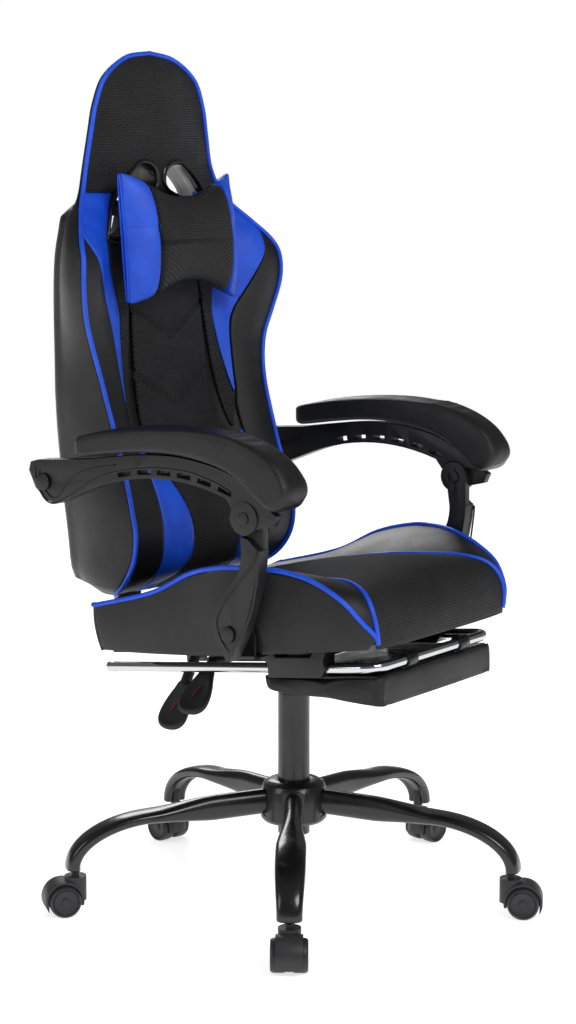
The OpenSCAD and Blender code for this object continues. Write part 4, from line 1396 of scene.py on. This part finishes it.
for side in (-1, 1):
    rows = []
    for ring in (pillow_rings[::-1] if side < 0 else pillow_rings)[-edge_count - 1:-1]:
        front = ring[ring[:, 1] < ring[:, 1].mean()]
        order = np.argsort(front[:, 2])
        depth = np.interp(cross_seam_z, front[order, 2], front[order, 1]) - 0.2
        rows.append((ring[0, 0], depth, cross_seam_z))
    name = f"pillow_stitch_{'a' if side > 0 else 'b'}"
    row = repeated(name, bead_tree, flow(rows, 40), 4.2, 1.6, 0.6, blue_piping, 5)
    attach(row, "pillow")
print("chevrons and pillow are stitched")

# %% [markdown]
# ## Moulded ridges
# The mould raises thin ridges on the outer faces of the armrests: two follow the beam's swept
# tail, and two run down the post and meet at its foot. Each is a thin bead half sunk into the
# face, which catches the light along its length.

# %% Ridges on beams and posts
ridge_lines = {
    "arm": (296.2, [
        [(270, 694), (270, 680), (264, 663), (250, 645), (231, 641), (200, 655),
         (162, 678), (125, 693), (85, 702), (33, 708), (-25, 706), (-74, 694), (-98, 684)],
        [(262, 690), (262, 679), (256, 665), (245, 653), (233, 648), (220, 658), (204, 677),
         (178, 692), (149, 700), (113, 707)],
    ]),
    "post": (295.2, [
        [(-145, 604), (-137, 583), (-115, 558), (-90, 529), (-75, 503), (-73, 487), (-82, 466),
         (-95, 450)],
        [(-149, 600), (-148, 584), (-142, 541), (-133, 507), (-117, 476), (-101, 451)],
    ]),
}
ridges = 0
for body, (x, lines) in ridge_lines.items():
    for side, word in both_sides:
        for k, points in enumerate(lines):
            bead = [(side * x, y, z) for y, z in flow(points, 120)]
            ridge = sweep(f"{body}_ridge_{word}_{k + 1}", bead, 1.5, arm_plastic, 12)
            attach(ridge, f"{body}_{word}")
            ridges += 1
print(ridges, "ridges")

# %% [markdown]
# ## The studio
# The floor is a sheet of white paper that reaches far past the camera's view. Three large soft
# lamps light the chair. The background is pure white to the camera, while the light that it
# sends to the chair is lower, so black leather and plastic keep their depth.

# %% Floor and light
def stage_floor():
    """A wide sheet of paper with a little light of its own, as paper lit from behind has."""
    mesh = bpy.data.meshes.new("floor")
    mesh.from_pydata([(-90, -90, 0), (90, -90, 0), (90, 90, 0), (-90, 90, 0)], [], [(0, 1, 2, 3)])
    floor = bpy.data.objects.new("floor", mesh)
    bpy.context.scene.collection.objects.link(floor)
    paper = Finish("floor_paper", Base_Color=(0.80, 0.80, 0.81), Roughness=0.8,
                   Specular_IOR_Level=0.2, Emission_Color=(1.0, 1.0, 1.0), Emission_Strength=0.67)
    mesh.materials.append(paper.material)
    return floor


def area_light(name, place, target, size, watts):
    light = bpy.data.objects.new(name, bpy.data.lights.new(name, "AREA"))
    light.data.shape = "RECTANGLE"
    light.data.size, light.data.size_y = size
    light.data.energy = watts
    light.location = place
    light.rotation_euler = (Vector(target) - Vector(place)).to_track_quat("-Z", "Y").to_euler()
    bpy.context.scene.collection.objects.link(light)


stage_floor()
area_light("key", (-1.2, -3.4, 3.2), (0, 0, 0.6), (1.8, 1.8), 95)
area_light("side", (-3.6, 1.6, 2.2), (0, 0, 0.7), (1.4, 2.2), 34)
area_light("rim", (2.6, 2.6, 2.4), (0, 0, 0.8), (1.4, 1.8), 42)

world = bpy.data.worlds.new("studio")
world.use_nodes = True
add = partial(wired, world.node_tree)
ray = add("ShaderNodeLightPath").outputs
to_chair = add("ShaderNodeMapRange", {0: ray["Is Glossy Ray"], 3: 0.42, 4: 0.15}).outputs[0]
strength = add("ShaderNodeMapRange", {0: ray["Is Camera Ray"], 3: to_chair, 4: 1.0}).outputs[0]
background = world.node_tree.nodes["Background"]
world.node_tree.links.new(strength, background.inputs["Strength"])
background.inputs["Color"].default_value = (1, 1, 1, 1)
bpy.context.scene.world = world
bpy.context.scene.view_settings.view_transform = "Standard"
print("lights placed")
